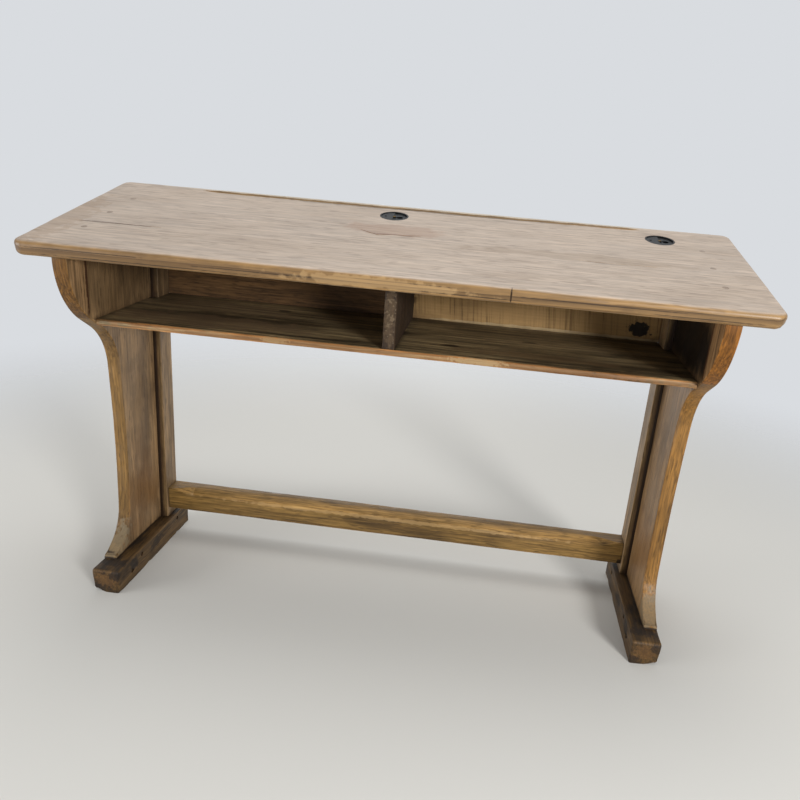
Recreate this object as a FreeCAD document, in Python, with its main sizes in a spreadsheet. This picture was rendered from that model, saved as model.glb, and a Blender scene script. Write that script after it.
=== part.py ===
import FreeCAD, Part
import math
import os

import Sketcher

# A two-seat school desk of solid wood. It has a sloping top of two boards with a pen groove and two
# inkwells, a book box with a divider, two end frames on sledge feet and a foot rail between them.
# Units are millimetres and degrees. The origin is on the floor under the middle of the desk, +X runs to
# the right end, +Y to the back, +Z up. Lengths named "front" are measured back from the top's front edge.

SIZES = [
    # the writing top
    ("top_width", 1180, "length of the top from end to end"),
    ("top_depth", 370, "depth of the top along its slope"),
    ("top_thickness", 25, "thickness of the top boards"),
    ("top_slope", 13.75, "slope of the top, rising to the back"),
    ("front_height", 654, "height of the top's upper front edge"),
    ("top_corner", 18, "radius of the top's corners in plan"),
    ("top_round", 8, "radius of the rounded edges of the top"),
    ("front_board", 115, "depth of the front board of the top"),
    ("tongue_thickness", 8, "thickness of the tongue between the top boards"),
    ("tongue_reach", 9, "length of that tongue"),
    ("tongue_stop", 30, "distance of the tongue's ends from the ends of the top"),
    ("fit_gap", 0.15, "glue clearance round tongues and tenons"),
    ("bottom_gap", 1, "glue room under tongues and tenons"),
    ("pen_groove_length", 844, "length of the pen groove"),
    ("pen_groove_width", 14, "width of the pen groove"),
    ("pen_groove_depth", 6, "depth of the pen groove"),
    ("pen_groove_back", 19, "middle of the pen groove from the back edge"),
    ("pen_groove_runout", 34, "length over which each end of the groove rises"),
    ("pen_groove_end", 0.5, "depth left at the very ends of the groove"),
    # the end boards with their console curve
    ("end_inset", 60, "end of the top to the outside of the end board"),
    ("end_thickness", 25, "thickness of the end boards"),
    ("end_ease", 2, "rounding of the end boards' curved edges"),
    ("end_tongue", 10, "thickness of the end board's tongue in the post"),
    ("end_tongue_reach", 8, "length of that tongue inside the post"),
    ("shrink_gap", 3, "gap where the end board has shrunk away from the post"),
    ("console_front", 12, "front of the console behind the front of the top"),
    ("console_radius", 130, "radius of the console's round front"),
    ("shoulder_angle", 32, "fall of the console's shoulder below level"),
    ("shoulder_run", 30, "length of that straight shoulder"),
    ("waist_radius", 105, "radius of the hollow under the shelf"),
    ("leg_top_angle", 85, "direction of the leg's front edge under the waist"),
    ("leg_foot_angle", 93, "direction of the leg's front edge above the flare"),
    ("flare_radius", 80, "radius of the flare over the foot"),
    ("flare_angle", 165, "direction of the flare's lower end"),
    ("toe_height", 8, "upright front of the flare's toe"),
    ("nose_clear", 7.1, "seam of the strip glued on as the console's nose, in front of the shoulder"),
    # the rear posts
    ("post_front", 279, "front of the rear posts behind the front of the top"),
    ("post_depth", 48, "depth of the rear posts"),
    ("post_proud", 14, "posts proud of the end boards on the inside"),
    ("post_ease", 2, "rounding of the posts' free edges"),
    # the sledge feet
    ("foot_front", 51, "front of the feet behind the front of the top"),
    ("foot_length", 304, "length of the feet"),
    ("foot_width", 52, "width of the feet"),
    ("foot_height", 46, "height of the feet"),
    ("foot_reveal", 1, "feet proud of the end boards on the outside"),
    ("foot_round", 6, "rounding of the feet's upper ends"),
    ("foot_ease", 3, "rounding of the feet's long upper edges and corners"),
    ("tenon_thickness", 14, "thickness of the tenons in the feet"),
    ("tenon_length", 20, "length of the tenons in the feet"),
    ("tenon_shoulder", 8, "shoulder at both ends of those tenons"),
    ("bolt_hole_radius", 4, "radius of the bolt hole through the foot"),
    ("bolt_hole_front", 52, "bolt hole behind the foot's front end"),
    ("bolt_hole_height", 19, "height of the bolt hole"),
    # the foot rail
    ("rail_height", 49, "height of the foot rail"),
    ("rail_depth", 40, "depth of the foot rail"),
    ("rail_lift", 17, "foot rail above the feet"),
    ("rail_setback", 8, "foot rail behind the front of the posts"),
    ("rail_ease", 2, "rounding of the foot rail's lower and rear edges"),
    ("rail_tenon_length", 26, "length of the foot rail's tenons"),
    ("rail_tenon_thickness", 14, "thickness of those tenons"),
    ("rail_tenon_shoulder", 6, "shoulder above and below those tenons"),
    ("rail_wear_drop", 13, "height worn off the rail's front edge by shoes"),
    ("rail_wear_depth", 16, "depth of that worn slope"),
    ("rail_wear_end", 8, "unworn stretch beside each post"),
    ("rail_wear_runout", 46, "length over which the wear runs out"),
    # the book shelf
    ("shelf_front", 82, "front of the book shelf behind the front of the top"),
    ("box_height", 131, "height of the shelf's upper front edge below that of the top"),
    ("shelf_slope", 2, "rise of the shelf to the back"),
    ("shelf_thickness", 12, "thickness of the shelf boards"),
    ("shelf_nose", 4.5, "rounding of the shelf's nose"),
    ("shelf_seam", 133, "depth of the shelf's front board"),
    ("shelf_tongue", 4, "thickness of the tongue between the shelf boards"),
    ("shelf_tongue_reach", 5, "length of that tongue"),
    ("housing_depth", 6, "depth of the shelf's housing in the end boards"),
    ("housing_stop", 24, "stop of the housing behind the shelf's nose"),
    # the divider and the back of the book box
    ("divider_thickness", 21, "thickness of the divider"),
    ("divider_setback", 3, "divider behind the shelf's nose"),
    ("divider_ease", 1.5, "rounding of the divider's front edges"),
    ("back_thickness", 16, "thickness of the back boards"),
    ("back_ease", 2, "rounding of the back boards' free edges"),
    # wood screws, plugs and pegs
    ("screw_head", 4.6, "radius of the screw heads"),
    ("screw_head_height", 3, "height of the countersunk heads"),
    ("screw_shank", 2.4, "radius of the screw shanks"),
    ("screw_tip", 7, "length of the screws' points"),
    ("slot_width", 1.3, "width of the screw slots"),
    ("slot_depth", 1.2, "depth of the screw slots"),
    ("top_screw_length", 44, "length of the screws that hold the top"),
    ("top_screw_first", 90, "front screws, along the slope of the top"),
    ("top_screw_second", 173, "middle screws"),
    ("top_screw_third", 258, "rear screws"),
    ("plug_radius", 5.2, "radius of the wood plugs over those screws"),
    ("plug_depth", 7, "depth of the wood plugs"),
    ("back_screw_length", 40, "length of the screws in the back boards"),
    ("back_screw_margin", 36, "those screws from the back boards' long edges"),
    ("divider_screw_spread", 11, "distance between the back screws in the divider"),
    ("shelf_screw_length", 30, "length of the screws under the shelf"),
    ("shelf_screw_first", 46, "first screw under the divider, along the shelf"),
    ("shelf_screw_second", 190, "second screw under the divider"),
    ("shelf_screw_near", 160, "inner screws under the back boards, from the middle"),
    ("shelf_screw_inset", 105, "outer screws under the back boards, from the end boards"),
    ("peg_radius", 4, "radius of the oak pegs"),
    ("rail_peg_length", 40, "length of the pegs through the rail tenons"),
    ("foot_peg_drop", 12, "pegs in the feet below their upper side"),
    ("foot_peg_front", 91, "front peg behind the foot's front end"),
    ("foot_peg_rear", 248, "rear peg behind the foot's front end"),
    ("foot_peg_recess", 3, "pegs sunk in the feet's inner side"),
    # the two inkwells
    ("left_inkwell", 34, "left inkwell, to the left of the middle"),
    ("right_inkwell_inset", 139, "right inkwell from the right end of the top"),
    ("inkwell_back", 71, "inkwells from the back edge, along the slope"),
    ("cap_radius", 26.5, "radius of the inkwell cap"),
    ("cap_rim", 2.6, "width of the cap's raised rim"),
    ("cap_flange", 3.4, "thickness of the cap's flange"),
    ("cap_recess", 2.6, "depth of the recess inside the rim"),
    ("cap_floor", 1.6, "thickness of the recess floor"),
    ("cap_ease", 0.6, "rounding of the cap's rim"),
    ("spigot_wall", 2.2, "wall of the spigot that holds the pot"),
    ("spigot_depth", 10, "depth of the spigot under the top's surface"),
    ("pot_radius", 21, "outer radius of the ink pot"),
    ("pot_wall", 1.8, "wall of the ink pot"),
    ("pot_floor", 3, "floor of the ink pot"),
    ("pot_depth", 46, "bottom of the ink pot under the top's surface"),
    ("pot_round", 2.5, "rounding of the pot's bottom"),
    ("ink_hole_radius", 6, "radius of the ink hole in the cap"),
    ("ink_hole_offset", 10.3, "ink hole from the middle of the cap"),
    ("shutter_thickness", 1.2, "thickness of the swivelling shutter"),
    ("shutter_lift", 0.3, "shutter above the recess floor and below the rivet head"),
    ("shutter_side_gap", 0.5, "shutter inside the cap's rim"),
    ("shutter_eye", 4, "radius of the shutter's eye round the rivet"),
    ("stop_half", 1, "half the width of the stop in the cap's recess"),
    ("stop_reach", 3, "length of that stop, in from the rim"),
    ("stop_gap", 0.3, "shutter's straight edge beside the stop"),
    ("nib_radius", 1.8, "radius of the shutter's finger nib"),
    ("nib_height", 0.9, "height of the finger nib"),
    ("nib_offset", 16, "finger nib from the middle of the cap"),
    ("rivet_shank", 1.5, "radius of the rivet"),
    ("rivet_clearance", 0.05, "running clearance of the shutter on the rivet"),
    ("rivet_head", 3.1, "radius of the rivet's heads"),
    ("rivet_head_height", 0.9, "height of the rivet's heads"),
]

# Places worked out from the sizes. Names ending in _y lie behind the front of the top, those ending in _z
# above the floor. The points console to toe follow the front edge of the end boards from top to bottom.
LAYOUT = [
    ("half_y", "(Sizes.top_depth * cos(Sizes.top_slope) + Sizes.top_thickness * sin(Sizes.top_slope)) / 2"),
    ("under_z", "Sizes.front_height - Sizes.top_thickness / cos(Sizes.top_slope)"),
    ("end_outer", "Sizes.top_width / 2 - Sizes.end_inset"),
    ("end_inner", "Layout.end_outer - Sizes.end_thickness"),
    ("end_middle", "Layout.end_outer - Sizes.end_thickness / 2"),
    ("end_back_y", "Sizes.post_front - Sizes.shrink_gap"),
    ("post_inner", "Layout.end_inner - Sizes.post_proud"),
    ("post_middle", "(Layout.post_inner + Layout.end_outer) / 2"),
    ("post_back_y", "Sizes.post_front + Sizes.post_depth"),
    ("foot_outer", "Layout.end_outer + Sizes.foot_reveal"),
    ("foot_inner", "Layout.foot_outer - Sizes.foot_width"),
    ("foot_back_y", "Sizes.foot_front + Sizes.foot_length"),
    ("foot_peg_z", "Sizes.foot_height - Sizes.foot_peg_drop"),
    ("back_y", "Layout.post_back_y + Sizes.back_thickness"),
    ("console_z", "Layout.under_z + Sizes.console_front * tan(Sizes.top_slope)"),
    ("shoulder_y", "Sizes.console_front + Sizes.console_radius * (1 - sin(Sizes.shoulder_angle))"),
    ("shoulder_z", "Layout.console_z - Sizes.console_radius * cos(Sizes.shoulder_angle)"),
    ("seam_y", "Layout.shoulder_y - Sizes.nose_clear"),
    ("seam_reach", "Sizes.console_front + Sizes.console_radius - Layout.seam_y"),
    ("seam_z", "Layout.console_z - sqrt(Sizes.console_radius^2 - Layout.seam_reach^2)"),
    ("waist_y", "Layout.shoulder_y + Sizes.shoulder_run * cos(Sizes.shoulder_angle)"),
    ("waist_z", "Layout.shoulder_z - Sizes.shoulder_run * sin(Sizes.shoulder_angle)"),
    (
        "leg_y",
        "Layout.waist_y + Sizes.waist_radius * (sin(Sizes.leg_top_angle) - sin(Sizes.shoulder_angle))",
    ),
    (
        "leg_z",
        "Layout.waist_z - Sizes.waist_radius * (cos(Sizes.shoulder_angle) - cos(Sizes.leg_top_angle))",
    ),
    ("toe_z", "Sizes.foot_height + Sizes.toe_height"),
    ("flare_z", "Layout.toe_z + Sizes.flare_radius * (cos(Sizes.leg_foot_angle) - cos(Sizes.flare_angle))"),
    (
        "leg_radius",
        "(Layout.leg_z - Layout.flare_z) / (cos(Sizes.leg_top_angle) - cos(Sizes.leg_foot_angle))",
    ),
    (
        "flare_y",
        "Layout.leg_y + Layout.leg_radius * (sin(Sizes.leg_foot_angle) - sin(Sizes.leg_top_angle))",
    ),
    ("toe_y", "Layout.flare_y + Sizes.flare_radius * (sin(Sizes.flare_angle) - sin(Sizes.leg_foot_angle))"),
    ("rail_y", "Sizes.post_front + Sizes.rail_setback"),
    ("rail_middle_y", "Layout.rail_y + Sizes.rail_depth / 2"),
    ("rail_z", "Sizes.foot_height + Sizes.rail_lift"),
    ("rail_top_z", "Layout.rail_z + Sizes.rail_height"),
    ("rail_middle_z", "Layout.rail_z + Sizes.rail_height / 2"),
    ("shelf_end", "Layout.end_inner + Sizes.housing_depth"),
    ("shelf_depth", "(Layout.back_y - Sizes.shelf_front) / cos(Sizes.shelf_slope)"),
    ("shelf_screw_row", "Layout.shelf_depth - Sizes.back_thickness / 2"),
    ("divider_y", "Sizes.shelf_front + Sizes.divider_setback"),
    ("shelf_front_height", "Sizes.front_height - Sizes.box_height"),
    ("shelf_screw_far", "Layout.end_inner - Sizes.shelf_screw_inset"),
    (
        "back_z",
        "Layout.shelf_front_height + (Layout.post_back_y - Sizes.shelf_front) * tan(Sizes.shelf_slope)",
    ),
    ("back_top_z", "Layout.under_z + Layout.post_back_y * tan(Sizes.top_slope)"),
    (
        "groove_radius",
        "(Sizes.pen_groove_width^2 / 4 + Sizes.pen_groove_depth^2) / (2 * Sizes.pen_groove_depth)",
    ),
    ("groove_end", "Layout.groove_radius - Sizes.pen_groove_depth + Sizes.pen_groove_end"),
    ("right_inkwell", "Sizes.top_width / 2 - Sizes.right_inkwell_inset"),
    ("inkwell_along", "Sizes.top_depth - Sizes.inkwell_back"),
    ("recess_radius", "Sizes.cap_radius - Sizes.cap_rim"),
    ("spigot_radius", "Sizes.pot_radius - Sizes.pot_wall - Sizes.fit_gap"),
    ("spigot_bore", "Layout.spigot_radius - Sizes.spigot_wall"),
    ("shutter_z", "Sizes.shutter_lift - Sizes.cap_recess"),
    ("shutter_top", "Layout.shutter_z + Sizes.shutter_thickness"),
    ("shutter_radius", "Layout.recess_radius - Sizes.shutter_side_gap"),
    ("shutter_edge", "Sizes.stop_half + Sizes.stop_gap"),
    ("floor_under", "Sizes.cap_recess + Sizes.cap_floor"),
]

SIDES = (("left", -1), ("right", 1))
LEFT_TURN = 1
RIGHT_TURN = -1
TOLERANCE = 1e-6

doc = FreeCAD.newDocument("double_school_desk")


def fill_sheet(name, rows):
    """Make a sheet with one aliased cell per row and return it."""
    sheet = doc.addObject("Spreadsheet::Sheet", name)
    for line, (alias, content) in enumerate(rows, start=1):
        sheet.set(f"A{line}", alias)
        sheet.set(f"B{line}", content)
        sheet.setAlias(f"B{line}", alias)
    doc.recompute()
    return sheet


sizes = fill_sheet("Sizes", [(alias, str(number)) for alias, number, _ in SIZES])
layout = fill_sheet("Layout", [(alias, "=" + formula) for alias, formula in LAYOUT])


def value(expression):
    """Return what an expression on the sheets comes to."""
    return float(sizes.evalExpression(str(expression)))


def under_top(y):
    """Return the height of the top's underside over the place y."""
    return f"Layout.under_z + ({y}) * tan(Sizes.top_slope)"


def on_shelf(y):
    """Return the height of the shelf's upper side over the place y."""
    return f"Layout.shelf_front_height + (({y}) - Sizes.shelf_front) * tan(Sizes.shelf_slope)"


def in_top(along, down):
    """Return the place (y, z) of a point along the top's slope and down from its surface."""
    y = f"({along}) * cos(Sizes.top_slope) + ({down}) * sin(Sizes.top_slope)"
    z = f"Sizes.front_height + ({along}) * sin(Sizes.top_slope) - ({down}) * cos(Sizes.top_slope)"
    return y, z


def in_shelf(along, down):
    """Return the place (y, z) of a point along the shelf and down from its upper side."""
    y = f"Sizes.shelf_front + ({along}) * cos(Sizes.shelf_slope) + ({down}) * sin(Sizes.shelf_slope)"
    rise = f"({along}) * sin(Sizes.shelf_slope) - ({down}) * cos(Sizes.shelf_slope)"
    z = f"Layout.shelf_front_height + {rise}"
    return y, z


def span(side, inner, outer):
    """Return where a piece between two distances from the middle starts along X, and its length."""
    start = f"({inner})" if side > 0 else f"-({outer})"
    return start, f"({outer}) - ({inner})"


def seat(item, x="0", y="0", z="0", tilt="0"):
    """Place an object in the desk, with y from the front of the top and a tilt about X."""
    place = f"vector({x}; {y} - Layout.half_y; {z})"
    item.setExpression("Placement", f"placement({place}; rotation(vector(1; 0; 0); {tilt}))")
    return item


def new_body(label, **place):
    """Return an empty body, seated in the desk."""
    body = doc.addObject("PartDesign::Body", label)
    body.Label = label
    return seat(body, **place)


def new_sketch(body, name, plane, x="0", y="0", z="0", tilt="0"):
    """Return a sketch on one of the body's own planes, moved by an offset in the sketch's own axes."""
    sketch = body.newObject("Sketcher::SketchObject", f"{body.Name}_{name}_sketch")
    support = next(item for item in body.Origin.OriginFeatures if item.Role == plane)
    sketch.AttachmentSupport = [(support, "")]
    sketch.MapMode = "FlatFace"
    offset = f"placement(vector({x}; {y}; {z}); rotation(vector(1; 0; 0); {tilt}))"
    sketch.setExpression("AttachmentOffset", offset)
    return sketch


def tie(sketch, kind, geometry, name, expression):
    """Add a sized constraint and bind it to an expression."""
    index = sketch.addConstraint(Sketcher.Constraint(kind, *geometry, value(expression)))
    sketch.renameConstraint(index, name)
    sketch.setExpression(f"Constraints.{name}", str(expression))


def arc_between(start, end, radius, turn):
    """Return the short arc from start to end that bends to the left or to the right."""
    chord = end - start
    rise = math.sqrt(max(radius**2 - chord.Length**2 / 4, 0))
    normal = FreeCAD.Vector(-chord.y, chord.x, 0).normalize() * turn
    centre = (start + end) / 2 + normal * rise
    first, last = (start, end) if turn == LEFT_TURN else (end, start)
    angles = [math.atan2(point.y - centre.y, point.x - centre.x) for point in (first, last)]
    if angles[1] < angles[0]:
        angles[1] += 2 * math.pi
    return Part.ArcOfCircle(Part.Circle(centre, FreeCAD.Vector(0, 0, 1), radius), *angles)


def draw_outline(sketch, corners):
    """Draw a closed outline whose corners are (u, v), or (u, v, radius, turn) where an arc leaves them."""
    points = [FreeCAD.Vector(value(corner[0]), value(corner[1]), 0) for corner in corners]
    starts, ends = [], []
    for index, corner in enumerate(corners):
        start, end = points[index], points[(index + 1) % len(points)]
        if len(corner) == 2:
            edge = sketch.addGeometry(Part.LineSegment(start, end), False)
            turn = LEFT_TURN
        else:
            turn = corner[3]
            edge = sketch.addGeometry(arc_between(start, end, value(corner[2]), turn), False)
        starts.append((edge, 1 if turn == LEFT_TURN else 2))
        ends.append((edge, 2 if turn == LEFT_TURN else 1))
    for index, corner in enumerate(corners):
        sketch.addConstraint(Sketcher.Constraint("Coincident", *ends[index - 1], *starts[index]))
        tie(sketch, "DistanceX", (-1, 1, *starts[index]), f"u{index}", corner[0])
        tie(sketch, "DistanceY", (-1, 1, *starts[index]), f"v{index}", corner[1])
        if len(corner) > 2:
            tie(sketch, "Radius", (starts[index][0],), f"r{index}", corner[2])


def draw_circle(sketch, u, v, radius):
    """Draw a circle."""
    centre = FreeCAD.Vector(value(u), value(v), 0)
    edge = sketch.addGeometry(Part.Circle(centre, FreeCAD.Vector(0, 0, 1), value(radius)), False)
    tie(sketch, "DistanceX", (-1, 1, edge, 3), "u", u)
    tie(sketch, "DistanceY", (-1, 1, edge, 3), "v", v)
    tie(sketch, "Radius", (edge,), "r", radius)


def box_outline(u_low, u_high, v_low, v_high):
    """Return the corners of a rectangle."""
    return [(u_low, v_low), (u_high, v_low), (u_high, v_high), (u_low, v_high)]


def add_feature(body, kind, name, profile, **settings):
    """Add a feature on a sketch to a body, with its lengths bound to expressions."""
    before = body.Shape.Volume if body.Tip else 0
    feature = body.newObject(f"PartDesign::{kind}", f"{body.Name}_{name}")
    feature.Profile = profile
    for key, setting in settings.items():
        if isinstance(setting, str):
            feature.setExpression(key, setting)
        else:
            setattr(feature, key, setting)
    doc.recompute()
    grew = body.Shape.Volume - before
    adds = kind in ("Pad", "Revolution")
    if grew * (1 if adds else -1) < TOLERANCE:
        raise RuntimeError(f"{feature.Name} changes nothing")
    return feature


def pad_across(body, name, corners, start, length):
    """Pad an outline in Y and Z along X."""
    sketch = new_sketch(body, name, "YZ_Plane", z=start)
    draw_outline(sketch, corners)
    return add_feature(body, "Pad", name, sketch, Length=length)


def cut_across(body, name, corners, start, length):
    """Cut an outline in Y and Z along X."""
    sketch = new_sketch(body, name, "YZ_Plane", z=f"{start} + {length}")
    draw_outline(sketch, corners)
    return add_feature(body, "Pocket", name, sketch, Length=length)


def bore_across(body, name, y, z, start, length, radius):
    """Bore a round hole along X."""
    sketch = new_sketch(body, name, "YZ_Plane", z=f"{start} + {length}")
    draw_circle(sketch, y, z, radius)
    return add_feature(body, "Pocket", name, sketch, Length=length)


def bore_down(body, name, x, y, depth, radius, top="0"):
    """Bore a round hole down from a level of the body."""
    sketch = new_sketch(body, name, "XY_Plane", z=top)
    draw_circle(sketch, x, y, radius)
    return add_feature(body, "Pocket", name, sketch, Length=depth)


def bore_forward(body, name, x, z, back, length, radius):
    """Bore a round hole towards the front from a place at the back."""
    sketch = new_sketch(body, name, "XZ_Plane", z=f"-({back})")
    draw_circle(sketch, x, z, radius)
    return add_feature(body, "Pocket", name, sketch, Length=length, Reversed=True)


def round_edges(body, name, radius, choose):
    """Round the edges of the body that a test picks out."""
    base = body.Tip
    names = [f"Edge{n}" for n, edge in enumerate(base.Shape.Edges, start=1) if choose(edge)]
    fillet = body.newObject("PartDesign::Fillet", f"{body.Name}_{name}")
    fillet.Base = (base, names)
    fillet.setExpression("Radius", radius)
    doc.recompute()
    return fillet


def lies_at(edge, axis, *places):
    """Tell whether an edge lies wholly at one of some places along an axis."""
    box = edge.BoundBox
    low, high = getattr(box, f"{axis}Min"), getattr(box, f"{axis}Max")
    return any(abs(low - place) < 1e-4 and abs(high - place) < 1e-4 for place in places)


def runs_along(edge, axis):
    """Tell whether an edge is a straight one along an axis."""
    others = [name for name in "XYZ" if name != axis]
    return all(getattr(edge.BoundBox, f"{name}Length") < 1e-4 for name in others)


def group(label, members):
    """Return one node that holds several like pieces."""
    compound = doc.addObject("Part::Compound", label)
    compound.Label = label
    compound.Links = members
    return compound


# Fasteners

def screw_outline(length, gap):
    """Return half the outline of a countersunk wood screw, head up, with a clearance round it."""
    return [
        ("0", "0"),
        (f"Sizes.screw_head + {gap}", "0"),
        (f"Sizes.screw_shank + {gap}", "-Sizes.screw_head_height"),
        (f"Sizes.screw_shank + {gap}", f"Sizes.screw_tip - {length}"),
        ("0", f"-({length}) - {gap}"),
    ]


def wood_screw(name, length, **place):
    """Return a slotted countersunk wood screw."""
    body = new_body(name, **place)
    sketch = new_sketch(body, "outline", "XZ_Plane")
    draw_outline(sketch, screw_outline(length, "0"))
    add_feature(body, "Revolution", "turned", sketch, ReferenceAxis=(sketch, ["V_Axis"]), Angle=360)
    slot = box_outline(
        "-Sizes.slot_width / 2", "Sizes.slot_width / 2", "-Sizes.slot_depth", "Sizes.slot_depth"
    )
    cut_across(body, "slot", slot, "-Sizes.screw_head", "2 * Sizes.screw_head")
    return body


def screw_hole(body, name, length, x, y, z, tilt="0"):
    """Cut the hole that a screw at a place in the body's own frame sits in."""
    sketch = new_sketch(body, name, "XZ_Plane", x=x, y=z, z=f"-({y})", tilt=tilt)
    draw_outline(sketch, screw_outline(length, "Sizes.fit_gap"))
    return add_feature(body, "Groove", name, sketch, ReferenceAxis=(sketch, ["V_Axis"]), Angle=360)


def wood_pin(name, radius, length, **place):
    """Return a round peg or plug that reaches down from its place."""
    pin = doc.addObject("Part::Cylinder", name)
    pin.setExpression("Radius", radius)
    pin.setExpression("Height", length)
    return seat(pin, **place)


# Top

TOP_PLACE = dict(z="Sizes.front_height", tilt="Sizes.top_slope")
HALF_TOP = "Sizes.top_width / 2"
TOP_SCREWS = ("Sizes.top_screw_first", "Sizes.top_screw_second", "Sizes.top_screw_third")
TONGUE_LOW = "-(Sizes.top_thickness + Sizes.tongue_thickness) / 2"
TONGUE_HIGH = "-(Sizes.top_thickness - Sizes.tongue_thickness) / 2"
TONGUE_START = f"Sizes.tongue_stop - {HALF_TOP}"
TONGUE_LENGTH = "Sizes.top_width - 2 * Sizes.tongue_stop"
INKWELLS = {"left": "-Sizes.left_inkwell", "right": "Layout.right_inkwell"}


def top_plan(joint, edge, forward):
    """Return the plan of a top board from its joint to its rounded outer edge."""
    inward = "+" if forward else "-"
    turn = LEFT_TURN if forward else RIGHT_TURN
    shy = f"({edge}) {inward} Sizes.top_corner"
    return [
        (f"-{HALF_TOP}", joint),
        (f"-{HALF_TOP}", shy, "Sizes.top_corner", turn),
        (f"Sizes.top_corner - {HALF_TOP}", edge),
        (f"{HALF_TOP} - Sizes.top_corner", edge, "Sizes.top_corner", turn),
        (HALF_TOP, shy),
        (HALF_TOP, joint),
    ]


def top_board(label, corners, joint):
    """Return a board of the top with its outer edges rounded above and below."""
    body = new_body(label, **TOP_PLACE)
    sketch = new_sketch(body, "plan", "XY_Plane", z="-Sizes.top_thickness")
    draw_outline(sketch, corners)
    add_feature(body, "Pad", "board", sketch, Length="Sizes.top_thickness")
    joint_y = value(joint)
    levels = (0.0, -value("Sizes.top_thickness"))
    round_edges(
        body, "rounded", "Sizes.top_round",
        lambda edge: lies_at(edge, "Z", *levels) and not lies_at(edge, "Y", joint_y),
    )
    return body


def top_screw_holes(body, rows):
    """Sink the screws of some rows and their plugs into a top board, at both ends."""
    for row in rows:
        along = TOP_SCREWS[row]
        for name, side in SIDES:
            x = f"{side} * Layout.end_middle"
            screw_hole(body, f"{name}_screw_{row}", "Sizes.top_screw_length", x, along, "-Sizes.plug_depth")
            bore_down(body, f"{name}_plug_{row}", x, along, "Sizes.plug_depth", "Sizes.plug_radius")


def make_top():
    """Return the two boards of the writing top."""
    joint = "Sizes.front_board"
    front = top_board("top_front_board", top_plan(joint, "0", True), joint)
    tongue = box_outline(joint, f"{joint} + Sizes.tongue_reach", TONGUE_LOW, TONGUE_HIGH)
    pad_across(front, "tongue", tongue, TONGUE_START, TONGUE_LENGTH)
    top_screw_holes(front, (0,))

    rear = top_board("top_rear_board", top_plan(joint, "Sizes.top_depth", False), joint)
    groove = box_outline(
        joint, f"{joint} + Sizes.tongue_reach + Sizes.bottom_gap",
        f"{TONGUE_LOW} - Sizes.fit_gap", f"{TONGUE_HIGH} + Sizes.fit_gap",
    )
    cut_across(
        rear, "groove", groove,
        f"{TONGUE_START} - Sizes.bottom_gap", f"{TONGUE_LENGTH} + 2 * Sizes.bottom_gap",
    )
    top_screw_holes(rear, (1, 2))
    for name, x in INKWELLS.items():
        bore_down(
            rear, f"{name}_cap_seat", x, "Layout.inkwell_along",
            "Sizes.cap_flange", "Sizes.cap_radius + Sizes.fit_gap",
        )
        bore_down(
            rear, f"{name}_pot_hole", x, "Layout.inkwell_along",
            "Sizes.top_thickness", "Sizes.pot_radius + Sizes.fit_gap",
        )
    cut_pen_groove(rear)
    return [front, rear]


def cut_pen_groove(body):
    """Cut the round-bottomed pen groove, which rises to the surface at both ends."""
    sketch = new_sketch(
        body, "pen_groove", "XZ_Plane",
        y="Layout.groove_radius - Sizes.pen_groove_depth", z="Sizes.pen_groove_back - Sizes.top_depth",
    )
    half = "Sizes.pen_groove_length / 2"
    deep = f"{half} - Sizes.pen_groove_runout"
    draw_outline(sketch, [
        (f"-{half}", "0"), (f"-{half}", "-Layout.groove_end"), (f"-({deep})", "-Layout.groove_radius"),
        (deep, "-Layout.groove_radius"), (half, "-Layout.groove_end"), (half, "0"),
    ])
    add_feature(body, "Groove", "pen_groove", sketch, ReferenceAxis=(sketch, ["H_Axis"]), Angle=360)


# End frames

END_TENON = ("Layout.toe_y + Sizes.tenon_shoulder", "Layout.end_back_y - Sizes.tenon_shoulder")
POST_TENON = ("Sizes.post_front + Sizes.tenon_shoulder", "Layout.post_back_y - Sizes.tenon_shoulder")
FOOT_PEGS = ("Sizes.foot_front + Sizes.foot_peg_front", "Sizes.foot_front + Sizes.foot_peg_rear")
HALF_TENON = "Sizes.tenon_thickness / 2"
HALF_TONGUE = "Sizes.end_tongue / 2"


def tenon_outline(ends, gap="0", deeper="0"):
    """Return the outline of a tenon in a foot, with a clearance for its mortise."""
    low = f"Sizes.foot_height - Sizes.tenon_length - {deeper}"
    return box_outline(f"{ends[0]} - {gap}", f"{ends[1]} + {gap}", low, "Sizes.foot_height")


def rail_tenon_outline(gap):
    """Return the outline of the foot rail's tenon, with a clearance for its mortise."""
    half = "Sizes.rail_tenon_thickness / 2"
    return box_outline(
        f"Layout.rail_middle_y - {half} - {gap}", f"Layout.rail_middle_y + {half} + {gap}",
        f"Layout.rail_z + Sizes.rail_tenon_shoulder - {gap}",
        f"Layout.rail_top_z - Sizes.rail_tenon_shoulder + {gap}",
    )


def make_console_nose(name, side):
    """Return the strip that carries the console's round nose."""
    body = new_body(f"{name}_console_nose")
    pad_across(body, "strip", [
        ("Sizes.console_front", "Layout.console_z", "Sizes.console_radius", LEFT_TURN),
        ("Layout.seam_y", "Layout.seam_z"),
        ("Layout.seam_y", under_top("Layout.seam_y")),
    ], *span(side, "Layout.end_inner", "Layout.end_outer"))
    seam_y = value("Layout.seam_y")
    round_edges(
        body, "eased", "Sizes.end_ease",
        lambda edge: edge.Curve.TypeId == "Part::GeomCircle" and not lies_at(edge, "Y", seam_y),
    )
    return body


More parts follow.
